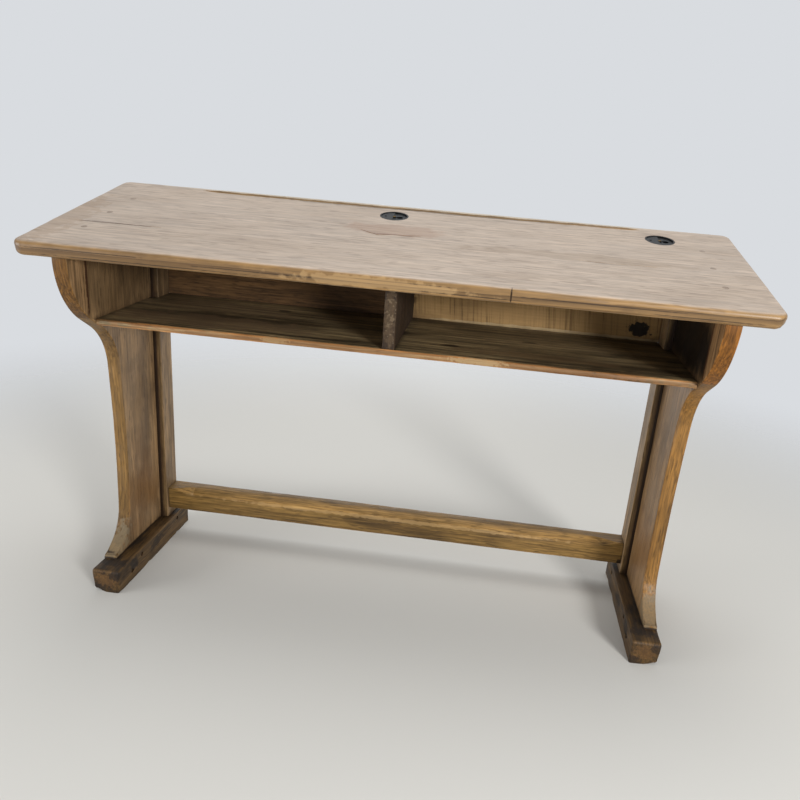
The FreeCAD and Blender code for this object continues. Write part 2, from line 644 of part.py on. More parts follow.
def make_end_board(name, side):
    """Return the end board with its console curve, tongue and tenon."""
    body = new_body(f"{name}_end_board")
    pad_across(body, "board", [
        ("Layout.seam_y", under_top("Layout.seam_y")),
        ("Layout.seam_y", "Layout.seam_z", "Sizes.console_radius", LEFT_TURN),
        ("Layout.shoulder_y", "Layout.shoulder_z"),
        ("Layout.waist_y", "Layout.waist_z", "Sizes.waist_radius", RIGHT_TURN),
        ("Layout.leg_y", "Layout.leg_z", "Layout.leg_radius", RIGHT_TURN),
        ("Layout.flare_y", "Layout.flare_z", "Sizes.flare_radius", RIGHT_TURN),
        ("Layout.toe_y", "Layout.toe_z"),
        ("Layout.toe_y", "Sizes.foot_height"),
        ("Layout.end_back_y", "Sizes.foot_height"),
        ("Layout.end_back_y", under_top("Layout.end_back_y")),
    ], *span(side, "Layout.end_inner", "Layout.end_outer"))
    faces = [side * value("Layout.end_inner"), side * value("Layout.end_outer")]
    upright = [value(f"Layout.{name}_y") for name in ("seam", "toe", "end_back")]
    foot_z, under_z = value("Sizes.foot_height"), value("Layout.under_z")
    rise = value("tan(Sizes.top_slope)")

    def on_front_edge(edge):
        """Tell whether an edge is one of the curved front arrises."""
        if not lies_at(edge, "X", *faces) or lies_at(edge, "Y", *upright) or lies_at(edge, "Z", foot_z):
            return False
        return any(abs(corner.Z - under_z - corner.Y * rise) > 1e-4 for corner in edge.Vertexes)

    round_edges(body, "eased", "Sizes.end_ease", on_front_edge)
    tongue_end = "Sizes.post_front + Sizes.end_tongue_reach"
    pad_across(body, "tongue", [
        ("Layout.end_back_y", "Sizes.foot_height"),
        (tongue_end, "Sizes.foot_height"),
        (tongue_end, under_top(tongue_end)),
        ("Layout.end_back_y", under_top("Layout.end_back_y")),
    ], *span(side, f"Layout.end_middle - {HALF_TONGUE}", f"Layout.end_middle + {HALF_TONGUE}"))
    pad_across(
        body, "tenon", tenon_outline(END_TENON),
        *span(side, f"Layout.end_middle - {HALF_TENON}", f"Layout.end_middle + {HALF_TENON}"),
    )
    for row, along in enumerate(TOP_SCREWS):
        y, z = in_top(along, "Sizes.plug_depth")
        x = f"{side} * Layout.end_middle"
        screw_hole(body, f"screw_{row}", "Sizes.top_screw_length", x, y, z, "Sizes.top_slope")
    cut_across(
        body, "shelf_housing", shelf_slot("Sizes.housing_stop"),
        *span(side, "Layout.end_inner", "Layout.shelf_end + Sizes.fit_gap"),
    )
    bore_across(
        body, "peg", FOOT_PEGS[0], "Layout.foot_peg_z",
        *span(side, "Layout.foot_inner", "Layout.foot_outer"), "Sizes.peg_radius + Sizes.fit_gap",
    )
    return body


def shelf_slot(stop):
    """Return the slanted outline of the shelf from a stop to the post, with its clearance."""
    near, far = f"{stop} - Sizes.fit_gap", "Layout.shelf_depth"
    low, high = "Sizes.shelf_thickness + Sizes.fit_gap", "-Sizes.fit_gap"
    return [in_shelf(near, low), in_shelf(far, low), in_shelf(far, high), in_shelf(near, high)]


def make_post(name, side):
    """Return the rear post, grooved for the end board and mortised for the foot rail."""
    body = new_body(f"{name}_post")
    pad_across(body, "post", [
        ("Sizes.post_front", "Sizes.foot_height"),
        ("Layout.post_back_y", "Sizes.foot_height"),
        ("Layout.post_back_y", under_top("Layout.post_back_y")),
        ("Sizes.post_front", under_top("Sizes.post_front")),
    ], *span(side, "Layout.post_inner", "Layout.end_outer"))
    inner, back = side * value("Layout.post_inner"), value("Layout.post_back_y")
    round_edges(
        body, "eased", "Sizes.post_ease",
        lambda edge: runs_along(edge, "Z") and (lies_at(edge, "X", inner) or lies_at(edge, "Y", back)),
    )
    pad_across(
        body, "tenon", tenon_outline(POST_TENON),
        *span(side, f"Layout.post_middle - {HALF_TENON}", f"Layout.post_middle + {HALF_TENON}"),
    )
    groove_end = "Sizes.post_front + Sizes.end_tongue_reach + Sizes.bottom_gap"
    cut_across(
        body, "groove",
        box_outline("Sizes.post_front", groove_end, "Sizes.foot_height", "Sizes.front_height * 2"),
        *span(side, f"Layout.end_middle - {HALF_TONGUE} - Sizes.fit_gap",
              f"Layout.end_middle + {HALF_TONGUE} + Sizes.fit_gap"),
    )
    cut_across(
        body, "rail_mortise", rail_tenon_outline("Sizes.fit_gap"),
        *span(side, "Layout.post_inner", "Layout.post_inner + Sizes.rail_tenon_length + Sizes.bottom_gap"),
    )
    bore_forward(
        body, "rail_peg", rail_peg_x(side), "Layout.rail_middle_z", "Layout.post_back_y",
        "Sizes.rail_peg_length", "Sizes.peg_radius + Sizes.fit_gap",
    )
    bore_across(
        body, "foot_peg", FOOT_PEGS[1], "Layout.foot_peg_z",
        *span(side, "Layout.foot_inner", "Layout.foot_outer"), "Sizes.peg_radius + Sizes.fit_gap",
    )
    for row, z in enumerate(BACK_SCREW_ROWS):
        x = f"{side} * Layout.post_middle"
        screw_hole(body, f"back_screw_{row}", "Sizes.back_screw_length", x, "Layout.back_y", z, "-90")
    return body


def make_foot(name, side):
    """Return the sledge foot with its two mortises, peg holes and bolt hole."""
    body = new_body(f"{name}_foot")
    pad_across(
        body, "runner",
        box_outline("Sizes.foot_front", "Layout.foot_back_y", "0", "Sizes.foot_height"),
        *span(side, "Layout.foot_inner", "Layout.foot_outer"),
    )
    height = value("Sizes.foot_height")
    round_edges(
        body, "rounded", "Sizes.foot_round",
        lambda edge: runs_along(edge, "X") and lies_at(edge, "Z", height),
    )
    sides = [side * value("Layout.foot_inner"), side * value("Layout.foot_outer")]
    round_edges(
        body, "eased", "Sizes.foot_ease",
        lambda edge: lies_at(edge, "X", *sides) and not lies_at(edge, "Z", 0.0),
    )
    half = f"{HALF_TENON} + Sizes.fit_gap"
    joints = (("end", END_TENON, "Layout.end_middle"), ("post", POST_TENON, "Layout.post_middle"))
    for joint, ends, middle in joints:
        cut_across(
            body, f"{joint}_mortise", tenon_outline(ends, "Sizes.fit_gap", "Sizes.bottom_gap"),
            *span(side, f"{middle} - ({half})", f"{middle} + {half}"),
        )
    for row, y in enumerate(FOOT_PEGS):
        bore_across(
            body, f"peg_{row}", y, "Layout.foot_peg_z",
            *span(side, "Layout.foot_inner", "Layout.foot_outer"), "Sizes.peg_radius + Sizes.fit_gap",
        )
    bore_across(
        body, "bolt_hole", "Sizes.foot_front + Sizes.bolt_hole_front", "Sizes.bolt_hole_height",
        *span(side, "Layout.foot_inner", "Layout.foot_outer"), "Sizes.bolt_hole_radius",
    )
    return body


# Foot rail

def rail_peg_x(side):
    """Return where the peg through a rail tenon stands along X."""
    return f"{side} * (Layout.post_inner + Sizes.rail_tenon_length / 2)"


def wear_outline(share):
    """Return the corner that shoes have worn off the rail, at a share of its full size."""
    spare = "Sizes.rail_ease"
    drop, depth = f"{share} * Sizes.rail_wear_drop", f"{share} * Sizes.rail_wear_depth"
    steep = "Sizes.rail_wear_drop / Sizes.rail_wear_depth"
    return [
        (f"Layout.rail_y - {spare}", f"Layout.rail_top_z - {drop} - {spare} * {steep}"),
        (f"Layout.rail_y + {depth} + {spare} / ({steep})", f"Layout.rail_top_z + {spare}"),
        (f"Layout.rail_y - {spare}", f"Layout.rail_top_z + {spare}"),
    ]


def make_foot_rail():
    """Return the foot rail with its tenons and its worn front edge."""
    body = new_body("foot_rail")
    section = box_outline(
        "Layout.rail_y", "Layout.rail_y + Sizes.rail_depth", "Layout.rail_z", "Layout.rail_top_z",
    )
    pad_across(body, "rail", section, "-Layout.post_inner", "2 * Layout.post_inner")
    front, top = value("Layout.rail_y"), value("Layout.rail_top_z")
    round_edges(
        body, "eased", "Sizes.rail_ease",
        lambda edge: runs_along(edge, "X") and not (lies_at(edge, "Y", front) and lies_at(edge, "Z", top)),
    )
    worn_out = "Layout.post_inner - Sizes.rail_wear_end"
    worn_full = f"{worn_out} - Sizes.rail_wear_runout"
    sections = []
    for index, (x, share) in enumerate((
        (f"-({worn_out})", "0.02"), (f"-({worn_full})", "1"), (worn_full, "1"), (worn_out, "0.02"),
    )):
        sketch = new_sketch(body, f"wear_{index}", "YZ_Plane", z=x)
        draw_outline(sketch, wear_outline(share))
        sections.append(sketch)
    add_feature(body, "SubtractiveLoft", "worn", sections[0], Sections=sections[1:], Ruled=True)
    for name, side in SIDES:
        pad_across(
            body, f"{name}_tenon", rail_tenon_outline("0"),
            *span(side, "Layout.post_inner", "Layout.post_inner + Sizes.rail_tenon_length"),
        )
        bore_forward(
            body, f"{name}_peg", rail_peg_x(side), "Layout.rail_middle_z", "Layout.post_back_y",
            "Sizes.rail_peg_length", "Sizes.peg_radius + Sizes.fit_gap",
        )
    return body


# Book box

SHELF_PLACE = dict(y="Sizes.shelf_front", z="Layout.shelf_front_height", tilt="Sizes.shelf_slope")
SHELF_SCREWS = ("Sizes.shelf_screw_first", "Sizes.shelf_screw_second")
BACK_SCREW_ROWS = ("Layout.back_z + Sizes.back_screw_margin", "Layout.back_top_z - Sizes.back_screw_margin")
FULL_SHELF = ("-Layout.shelf_end", "2 * Layout.shelf_end")


def shelf_tongue_outline(gap, deeper):
    """Return the outline of the tongue between the shelf boards, in the shelf's own frame."""
    middle, half = "-Sizes.shelf_thickness / 2", f"Sizes.shelf_tongue / 2 + {gap}"
    return box_outline(
        "Sizes.shelf_seam", f"Sizes.shelf_seam + Sizes.shelf_tongue_reach + {deeper}",
        f"{middle} - ({half})", f"{middle} + {half}",
    )


def make_shelf():
    """Return the two boards of the book shelf."""
    front = new_body("shelf_front_board", **SHELF_PLACE)
    front_section = box_outline("0", "Sizes.shelf_seam", "-Sizes.shelf_thickness", "0")
    pad_across(front, "board", front_section, *FULL_SHELF)
    round_edges(
        front, "nose", "Sizes.shelf_nose", lambda edge: runs_along(edge, "X") and lies_at(edge, "Y", 0.0),
    )
    notch = box_outline(
        "-Sizes.shelf_seam", "Sizes.housing_stop", "-2 * Sizes.shelf_thickness", "Sizes.shelf_thickness"
    )
    for name, side in SIDES:
        cut_across(front, f"{name}_notch", notch, *span(side, "Layout.end_inner", "Layout.shelf_end * 2"))
    pad_across(front, "tongue", shelf_tongue_outline("0", "0"), *FULL_SHELF)
    under = ("-Sizes.shelf_thickness", "180")
    screw_hole(front, "divider_screw", "Sizes.shelf_screw_length", "0", SHELF_SCREWS[0], *under)

    rear = new_body("shelf_rear_board", **SHELF_PLACE)
    pad_across(
        rear, "board",
        box_outline("Sizes.shelf_seam", "Layout.shelf_depth", "-Sizes.shelf_thickness", "0"),
        *FULL_SHELF,
    )
    cut_across(rear, "groove", shelf_tongue_outline("Sizes.fit_gap", "Sizes.bottom_gap"), *FULL_SHELF)
    post_notch = box_outline(
        "(Layout.end_back_y - Sizes.shelf_front) / cos(Sizes.shelf_slope)", "2 * Layout.shelf_depth",
        "-2 * Sizes.shelf_thickness", "Sizes.shelf_thickness",
    )
    for name, side in SIDES:
        cut_across(
            rear, f"{name}_notch", post_notch,
            *span(side, "Layout.post_inner - Sizes.fit_gap", "Layout.shelf_end * 2"),
        )
        for row, x in enumerate(("Sizes.shelf_screw_near", "Layout.shelf_screw_far")):
            screw_hole(
                rear, f"{name}_back_screw_{row}", "Sizes.shelf_screw_length",
                f"{side} * {x}", "Layout.shelf_screw_row", *under,
            )
    screw_hole(rear, "divider_screw", "Sizes.shelf_screw_length", "0", SHELF_SCREWS[1], *under)
    return [front, rear]


def make_divider():
    """Return the divider between the two book compartments."""
    body = new_body("divider")
    ends = ("Layout.divider_y", "Layout.post_back_y")
    pad_across(body, "board", [
        (ends[0], on_shelf(ends[0])), (ends[1], on_shelf(ends[1])),
        (ends[1], under_top(ends[1])), (ends[0], under_top(ends[0])),
    ], "-Sizes.divider_thickness / 2", "Sizes.divider_thickness")
    front = value(ends[0])
    round_edges(
        body, "eased", "Sizes.divider_ease",
        lambda edge: runs_along(edge, "Z") and lies_at(edge, "Y", front),
    )
    for row, along in enumerate(SHELF_SCREWS):
        y, z = in_shelf(along, "Sizes.shelf_thickness")
        screw_hole(
            body, f"shelf_screw_{row}", "Sizes.shelf_screw_length", "0", y, z, "180 + Sizes.shelf_slope",
        )
    for name, side in SIDES:
        for row, z in enumerate(BACK_SCREW_ROWS):
            screw_hole(
                body, f"{name}_back_screw_{row}", "Sizes.back_screw_length",
                f"{side} * Sizes.divider_screw_spread / 2", "Layout.back_y", z, "-90",
            )
    return body


def make_back_board(name, side):
    """Return the back board of one compartment, which stands on the shelf behind the posts."""
    body = new_body(f"{name}_back_board")
    ends = ("Layout.post_back_y", "Layout.back_y")
    pad_across(body, "board", [
        (ends[0], on_shelf(ends[0])), (ends[1], on_shelf(ends[1])),
        (ends[1], under_top(ends[1])), (ends[0], under_top(ends[0])),
    ], *span(side, "0", "Layout.end_outer"))
    lows = [value(on_shelf(end)) for end in ends]
    outer, back = side * value("Layout.end_outer"), value(ends[1])
    round_edges(
        body, "eased", "Sizes.back_ease",
        lambda edge: (runs_along(edge, "X") and lies_at(edge, "Z", *lows))
        or (runs_along(edge, "Z") and lies_at(edge, "X", outer) and lies_at(edge, "Y", back)),
    )
    for row, z in enumerate(BACK_SCREW_ROWS):
        for post, x in (("post", "Layout.post_middle"), ("divider", "Sizes.divider_screw_spread / 2")):
            screw_hole(
                body, f"{post}_screw_{row}", "Sizes.back_screw_length",
                f"{side} * {x}", "Layout.back_y", z, "-90",
            )
    for row, x in enumerate(("Sizes.shelf_screw_near", "Layout.shelf_screw_far")):
        y, z = in_shelf("Layout.shelf_screw_row", "Sizes.shelf_thickness")
        screw_hole(
            body, f"shelf_screw_{row}", "Sizes.shelf_screw_length",
            f"{side} * {x}", y, z, "180 + Sizes.shelf_slope",
        )
    return body


def make_fasteners():
    """Return the screws, plugs and pegs, like ones together."""
    top_screws, top_plugs, back_screws, shelf_screws, rail_pegs, foot_pegs = [], [], [], [], [], []
    for name, side in SIDES:
        for row, along in enumerate(TOP_SCREWS):
            y, z = in_top(along, "Sizes.plug_depth")
            place = dict(x=f"{side} * Layout.end_middle", y=y, z=z, tilt="Sizes.top_slope")
            top_screws.append(wood_screw(f"{name}_top_screw_{row}", "Sizes.top_screw_length", **place))
            plug = wood_pin(f"{name}_top_plug_{row}", "Sizes.plug_radius", "Sizes.plug_depth", **place)
            top_plugs.append(plug)
        for row, z in enumerate(BACK_SCREW_ROWS):
            for post, x in (("post", "Layout.post_middle"), ("divider", "Sizes.divider_screw_spread / 2")):
                back_screws.append(wood_screw(
                    f"{name}_{post}_screw_{row}", "Sizes.back_screw_length",
                    x=f"{side} * {x}", y="Layout.back_y", z=z, tilt="-90",
                ))
        for row, x in enumerate(("Sizes.shelf_screw_near", "Layout.shelf_screw_far")):
            y, z = in_shelf("Layout.shelf_screw_row", "Sizes.shelf_thickness")
            shelf_screws.append(wood_screw(
                f"{name}_shelf_screw_{row}", "Sizes.shelf_screw_length",
                x=f"{side} * {x}", y=y, z=z, tilt="180 + Sizes.shelf_slope",
            ))
        rail_pegs.append(wood_pin(
            f"{name}_rail_peg", "Sizes.peg_radius", "Sizes.rail_peg_length", x=rail_peg_x(side),
            y="Layout.post_back_y", z="Layout.rail_middle_z", tilt="90",
        ))
        for row, y in enumerate(FOOT_PEGS):
            foot_pegs.append(cross_pin(f"{name}_foot_peg_{row}", side, y))
    for row, along in enumerate(SHELF_SCREWS):
        y, z = in_shelf(along, "Sizes.shelf_thickness")
        shelf_screws.append(wood_screw(
            f"divider_shelf_screw_{row}", "Sizes.shelf_screw_length",
            y=y, z=z, tilt="180 + Sizes.shelf_slope",
        ))
    return [
        group("top_screws", top_screws), group("top_plugs", top_plugs), group("back_screws", back_screws),
        group("shelf_screws", shelf_screws), group("rail_pegs", rail_pegs), group("foot_pegs", foot_pegs),
    ]


def cross_pin(name, side, y):
    """Return a peg across a foot, sunk in the foot's inner side."""
    pin = doc.addObject("Part::Cylinder", name)
    start, length = span(side, "Layout.foot_inner + Sizes.foot_peg_recess", "Layout.foot_outer")
    pin.setExpression("Radius", "Sizes.peg_radius")
    pin.setExpression("Height", length)
    place = f"vector({start}; {y} - Layout.half_y; Layout.foot_peg_z)"
    pin.setExpression("Placement", f"placement({place}; rotation(vector(0; 1; 0); 90))")
    return pin


# Inkwells

def turn_round(body, name, corners):
    """Turn an outline of radius and height round the body's upright axis."""
    sketch = new_sketch(body, name, "XZ_Plane")
    draw_outline(sketch, corners)
    return add_feature(body, "Revolution", name, sketch, ReferenceAxis=(sketch, ["V_Axis"]), Angle=360)


def pad_up(body, name, corners, level, length):
    """Pad an outline in X and Y upwards from a level."""
    sketch = new_sketch(body, name, "XY_Plane", z=level)
    draw_outline(sketch, corners)
    return add_feature(body, "Pad", name, sketch, Length=length)


def make_inkwell(name, x):
    """Return the cap, pot, shutter and rivet of one inkwell, flush in the sloping top."""
    y, z = in_top("Layout.inkwell_along", "0")
    place = dict(x=x, y=y, z=z, tilt="Sizes.top_slope")

    cap = new_body(f"{name}_inkwell_cap", **place)
    turn_round(cap, "turned", [
        ("0", "-Sizes.cap_recess"),
        ("0", "-Layout.floor_under"),
        ("Layout.spigot_bore", "-Layout.floor_under"),
        ("Layout.spigot_bore", "-Sizes.spigot_depth"),
        ("Layout.spigot_radius", "-Sizes.spigot_depth"),
        ("Layout.spigot_radius", "-Sizes.cap_flange"),
        ("Sizes.cap_radius", "-Sizes.cap_flange"),
        ("Sizes.cap_radius", "-Sizes.cap_ease", "Sizes.cap_ease", LEFT_TURN),
        ("Sizes.cap_radius - Sizes.cap_ease", "0"),
        ("Layout.recess_radius", "0"),
        ("Layout.recess_radius", "-Sizes.cap_recess"),
    ])
    stop_in = "-Layout.recess_radius + Sizes.stop_reach"
    stop_out = "-Layout.recess_radius - Sizes.cap_rim / 2"
    stop = box_outline("-Sizes.stop_half", "Sizes.stop_half", stop_out, stop_in)
    rooted = "Sizes.cap_recess + Sizes.cap_floor / 2"
    pad_up(cap, "stop", stop, f"-({rooted})", rooted)
    bore_down(
        cap, "ink_hole", "Sizes.ink_hole_offset", "0", "Sizes.cap_flange * 2", "Sizes.ink_hole_radius"
    )
    bore_down(cap, "rivet_hole", "0", "0", "Sizes.cap_flange * 2", "Sizes.rivet_shank")

    pot = new_body(f"{name}_inkwell_pot", **place)
    inside = "Sizes.pot_radius - Sizes.pot_wall"
    turn_round(pot, "turned", [
        ("0", "Sizes.pot_floor - Sizes.pot_depth"),
        ("0", "-Sizes.pot_depth"),
        ("Sizes.pot_radius - Sizes.pot_round", "-Sizes.pot_depth", "Sizes.pot_round", LEFT_TURN),
        ("Sizes.pot_radius", "Sizes.pot_round - Sizes.pot_depth"),
        ("Sizes.pot_radius", "-Sizes.cap_flange"),
        (inside, "-Sizes.cap_flange"),
        (inside, "Sizes.pot_floor - Sizes.pot_depth"),
    ])

    shutter = new_body(f"{name}_inkwell_shutter", **place)
    rise = "sqrt(Layout.shutter_radius^2 - Layout.shutter_edge^2)"
    pad_up(shutter, "leaf", [
        ("-Layout.shutter_edge", rise, "Layout.shutter_radius", LEFT_TURN),
        ("-Layout.shutter_radius", "0", "Layout.shutter_radius", LEFT_TURN),
        ("-Layout.shutter_edge", f"-{rise}"),
    ], "Layout.shutter_z", "Sizes.shutter_thickness")
    eye = new_sketch(shutter, "eye", "XY_Plane", z="Layout.shutter_z")
    draw_circle(eye, "0", "0", "Sizes.shutter_eye")
    add_feature(shutter, "Pad", "eye", eye, Length="Sizes.shutter_thickness")
    nib = new_sketch(shutter, "nib", "XY_Plane", z="Layout.shutter_z")
    draw_circle(nib, "-Sizes.nib_offset", "0", "Sizes.nib_radius")
    add_feature(shutter, "Pad", "nib", nib, Length="Sizes.shutter_thickness + Sizes.nib_height")
    bore_down(
        shutter, "pivot_hole", "0", "0", "2 * Sizes.shutter_thickness",
        "Sizes.rivet_shank + Sizes.rivet_clearance", "Layout.shutter_top + Sizes.shutter_lift",
    )

    rivet = new_body(f"{name}_inkwell_rivet", **place)
    head_low = "Layout.shutter_top + Sizes.shutter_lift"
    turn_round(rivet, "turned", [
        ("0", "-Layout.floor_under - Sizes.rivet_head_height"),
        ("Sizes.rivet_head", "-Layout.floor_under - Sizes.rivet_head_height"),
        ("Sizes.rivet_head", "-Layout.floor_under"),
        ("Sizes.rivet_shank", "-Layout.floor_under"),
        ("Sizes.rivet_shank", head_low),
        ("Sizes.rivet_head", head_low),
        ("Sizes.rivet_head", f"{head_low} + Sizes.rivet_head_height / 3"),
        ("Sizes.rivet_head / 2", f"{head_low} + Sizes.rivet_head_height"),
        ("0", f"{head_low} + Sizes.rivet_head_height"),
    ])
    return [cap, pot, shutter, rivet]


def write_nodes(nodes):
    """Check the document and every piece, then write each piece to its file."""
    failed = [item.Name for item in doc.Objects if {"Invalid", "Error"} & set(item.State)]
    if failed:
        raise RuntimeError(f"failed objects: {failed}")
    for node in nodes:
        if node.Shape.isNull() or not node.Shape.isValid() or not node.Shape.Solids:
            raise RuntimeError(f"bad shape: {node.Label}")
    os.makedirs("parts", exist_ok=True)
    for node in nodes:
        node.Shape.exportStep(os.path.join("parts", f"{node.Label}.step"))
        box = node.Shape.BoundBox
        extents = f"{box.XLength:.1f} x {box.YLength:.1f} x {box.ZLength:.1f}"
        print(f"{node.Label}: {len(node.Shape.Solids)} solid(s), {extents}")


def main():
    """Build every piece of the desk and write it."""
    nodes = make_top()
    for name, side in SIDES:
        nodes += [make_end_board(name, side), make_console_nose(name, side)]
        nodes += [make_post(name, side), make_foot(name, side)]
        nodes.append(make_back_board(name, side))
    nodes.append(make_foot_rail())
    nodes += make_shelf()
    nodes.append(make_divider())
    nodes += make_fasteners()
    for name, x in INKWELLS.items():
        nodes += make_inkwell(name, x)
    doc.recompute()
    write_nodes(nodes)


main()
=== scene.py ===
"""Looks of an old two-seat school desk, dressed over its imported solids.

The desk stands on the floor with +X to the pupils' right, +Y to the back and +Z up. Lengths are in metres
unless a name ends in _mm.
"""

import logging
import math
from collections.abc import Iterable, Mapping, Sequence
from dataclasses import dataclass, replace
from enum import Enum
from typing import Any

import bmesh
import bpy
from mathutils import Matrix, Vector, noise
from mathutils.bvhtree import BVHTree

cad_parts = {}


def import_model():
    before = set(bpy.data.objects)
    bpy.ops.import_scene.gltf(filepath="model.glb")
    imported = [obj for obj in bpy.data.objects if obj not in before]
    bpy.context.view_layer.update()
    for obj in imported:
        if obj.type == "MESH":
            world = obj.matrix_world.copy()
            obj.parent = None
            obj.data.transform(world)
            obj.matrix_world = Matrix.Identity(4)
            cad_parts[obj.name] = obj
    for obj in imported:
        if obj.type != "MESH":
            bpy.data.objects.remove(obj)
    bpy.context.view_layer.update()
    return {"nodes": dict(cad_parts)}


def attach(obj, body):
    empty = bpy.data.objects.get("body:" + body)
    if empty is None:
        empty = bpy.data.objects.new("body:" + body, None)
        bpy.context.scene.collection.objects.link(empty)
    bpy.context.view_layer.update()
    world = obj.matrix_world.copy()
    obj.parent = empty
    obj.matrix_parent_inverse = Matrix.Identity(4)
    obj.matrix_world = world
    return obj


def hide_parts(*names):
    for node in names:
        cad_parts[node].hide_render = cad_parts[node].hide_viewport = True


Item = bpy.types.Object
Material = bpy.types.Material
Mesh = bmesh.types.BMesh
Node = bpy.types.Node
Nodes = Mapping[str, Item]
Pair = tuple[float, float]
Socket = bpy.types.NodeSocket
Tree = bpy.types.NodeTree
Triple = tuple[float, float, float]

LOG = logging.getLogger("school_desk")
MM = 0.001
DESK = "desk"
NOOK = "nook"
TOP_SLOPE = 13.75
SHELF_SLOPE = 2.0
SIDEWAYS = (1.0, 0.0, 0.0)
UPWARDS = (0.0, 0.0, 1.0)
OFF_THE_TOP = (0.0, -math.sin(math.radians(TOP_SLOPE)), math.cos(math.radians(TOP_SLOPE)))


# Small tools


def linear(code: str) -> tuple[float, float, float, float]:
    """Turn an sRGB hex colour into linear light.

    Args:
        code: The colour as "#rrggbb".

    Returns:
        The linear red, green and blue, and an alpha of 1.
    """
    parts = [int(code[i : i + 2], 16) / 255 for i in (1, 3, 5)]
    light = [p / 12.92 if p <= 0.04045 else ((p + 0.055) / 1.055) ** 2.4 for p in parts]
    return light[0], light[1], light[2], 1.0


def add_node(tree: Tree, kind: str, inputs: Mapping[Any, Any] | None = None, **settings: Any) -> Node:
    """Add a node with its settings and its links.

    Args:
        tree: The tree that gets the node.
        kind: The node's type, without its "ShaderNode" prefix.
        inputs: Socket names or numbers, each with a value or with an output socket to link.
        **settings: Properties of the node.

    Returns:
        The new node.
    """
    node = tree.nodes.new("ShaderNode" + kind)
    for key, setting in settings.items():
        setattr(node, key, setting)
    for key, content in (inputs or {}).items():
        if isinstance(content, Socket):
            tree.links.new(content, node.inputs[key])
        else:
            node.inputs[key].default_value = content
    return node


def new_material(name: str) -> tuple[Material, Tree]:
    """Make an empty material with nodes.

    Args:
        name: The material's name.

    Returns:
        The material and its node tree.
    """
    material = bpy.data.materials.new(name)
    material.use_nodes = True
    material.node_tree.nodes.clear()
    return material, material.node_tree


def close_material(tree: Tree, shader: Socket) -> None:
    """Link a finished shader to the material's output."""
    add_node(tree, "OutputMaterial", {"Surface": shader})


def dress(item: Item, material: Material) -> None:
    """Give an object one material all over.

    Args:
        item: The object.
        material: Its material.
    """
    item.data.materials.clear()
    item.data.materials.append(material)
    for polygon in item.data.polygons:
        polygon.material_index = 0


def put(item: Item) -> None:
    """Put a new object into the scene."""
    bpy.context.scene.collection.objects.link(item)


# Finishes


class Grain(Enum):
    """Which way a board's fibres run, as the turn that lays them along the pattern's X."""

    ALONG_X = (0.0, 0.0, 0.0)
    ALONG_Y = (0.0, 0.0, -90.0)
    ALONG_Z = (0.0, 90.0, 0.0)


# Sizes of the patterns in wood, in millimetres along and twice across the fibres. Real fibres are a fraction
# of a millimetre wide, so hairs and streaks are drawn as coarse as they need to show in the render.
SWAY_MM = (417.0, 91.0, 91.0)
STREAK_MM = (294.0, 8.3, 8.3)
HAIR_MM = (71.5, 3.0, 3.0)
SMEAR_MM = (33.0, 17.0, 17.0)
CLOUD_MM = (111.0, 45.5, 45.5)
RUB_MM = (62.5, 25.0, 25.0)
SAW_WORN_MM = (71.5, 45.5, 45.5)
SAW_LENGTH_MM = 167.0
WARP_MM = 9.0

# Between which values each pattern starts to show and shows in full.
SHADE_RANGE = {"From Min": 0.32, "From Max": 0.68}
CLOUD_RANGE = {"From Min": 0.3, "From Max": 0.7}
PORE_RANGE = {"From Min": 0.54, "From Max": 0.68}
STAIN_RANGE = {"From Min": 0.42, "From Max": 0.72}
SAW_RANGE = {"From Min": 0.46, "From Max": 0.68}
SAW_WORN_RANGE = {"From Min": 0.36, "From Max": 0.66}
RUB_RANGE = {"From Min": 0.35, "From Max": 0.62, "To Min": 1.2, "To Max": 4.4}
OPEN_RANGE = {"From Min": 0.4, "From Max": 0.94}
NOOK_RANGE = {"From Min": 0.42, "From Max": 0.95}
SPECK_RANGE = {"From Min": 0.45, "From Max": 0.7}

# Strength of the painted shade in sheltered corners, which stands for dirt there as well, and of its smears,
# depth of pores and saw marks against the rings, lean of the saw marks in radians, and the pattern's shift in
# metres from one seed to the next.
NOOK_SHARE = 0.85
SMEAR_SHARE = 0.5
PORE_DEPTH = 2.0
SAW_DEPTH = 0.8
SAW_SLANT = (0.0, 0.09, 0.09)
SEED_STEP = (0.73, 0.011, -0.007)
# A wave texture of scale 1 repeats after this many metres.
WAVE_LENGTH = 2 * math.pi / 20


@dataclass(frozen=True)
class Patch:
    """A ragged area of another colour, such as a stain, a scuff or a knot.

    Specks of a size in millimetres make its rim ragged, and it fades out over a soft share of its radii.
    """

    centre: Triple
    radii: Triple
    colour: str
    strength: float
    ragged: float
    speck_mm: float
    soft: float = 0.3


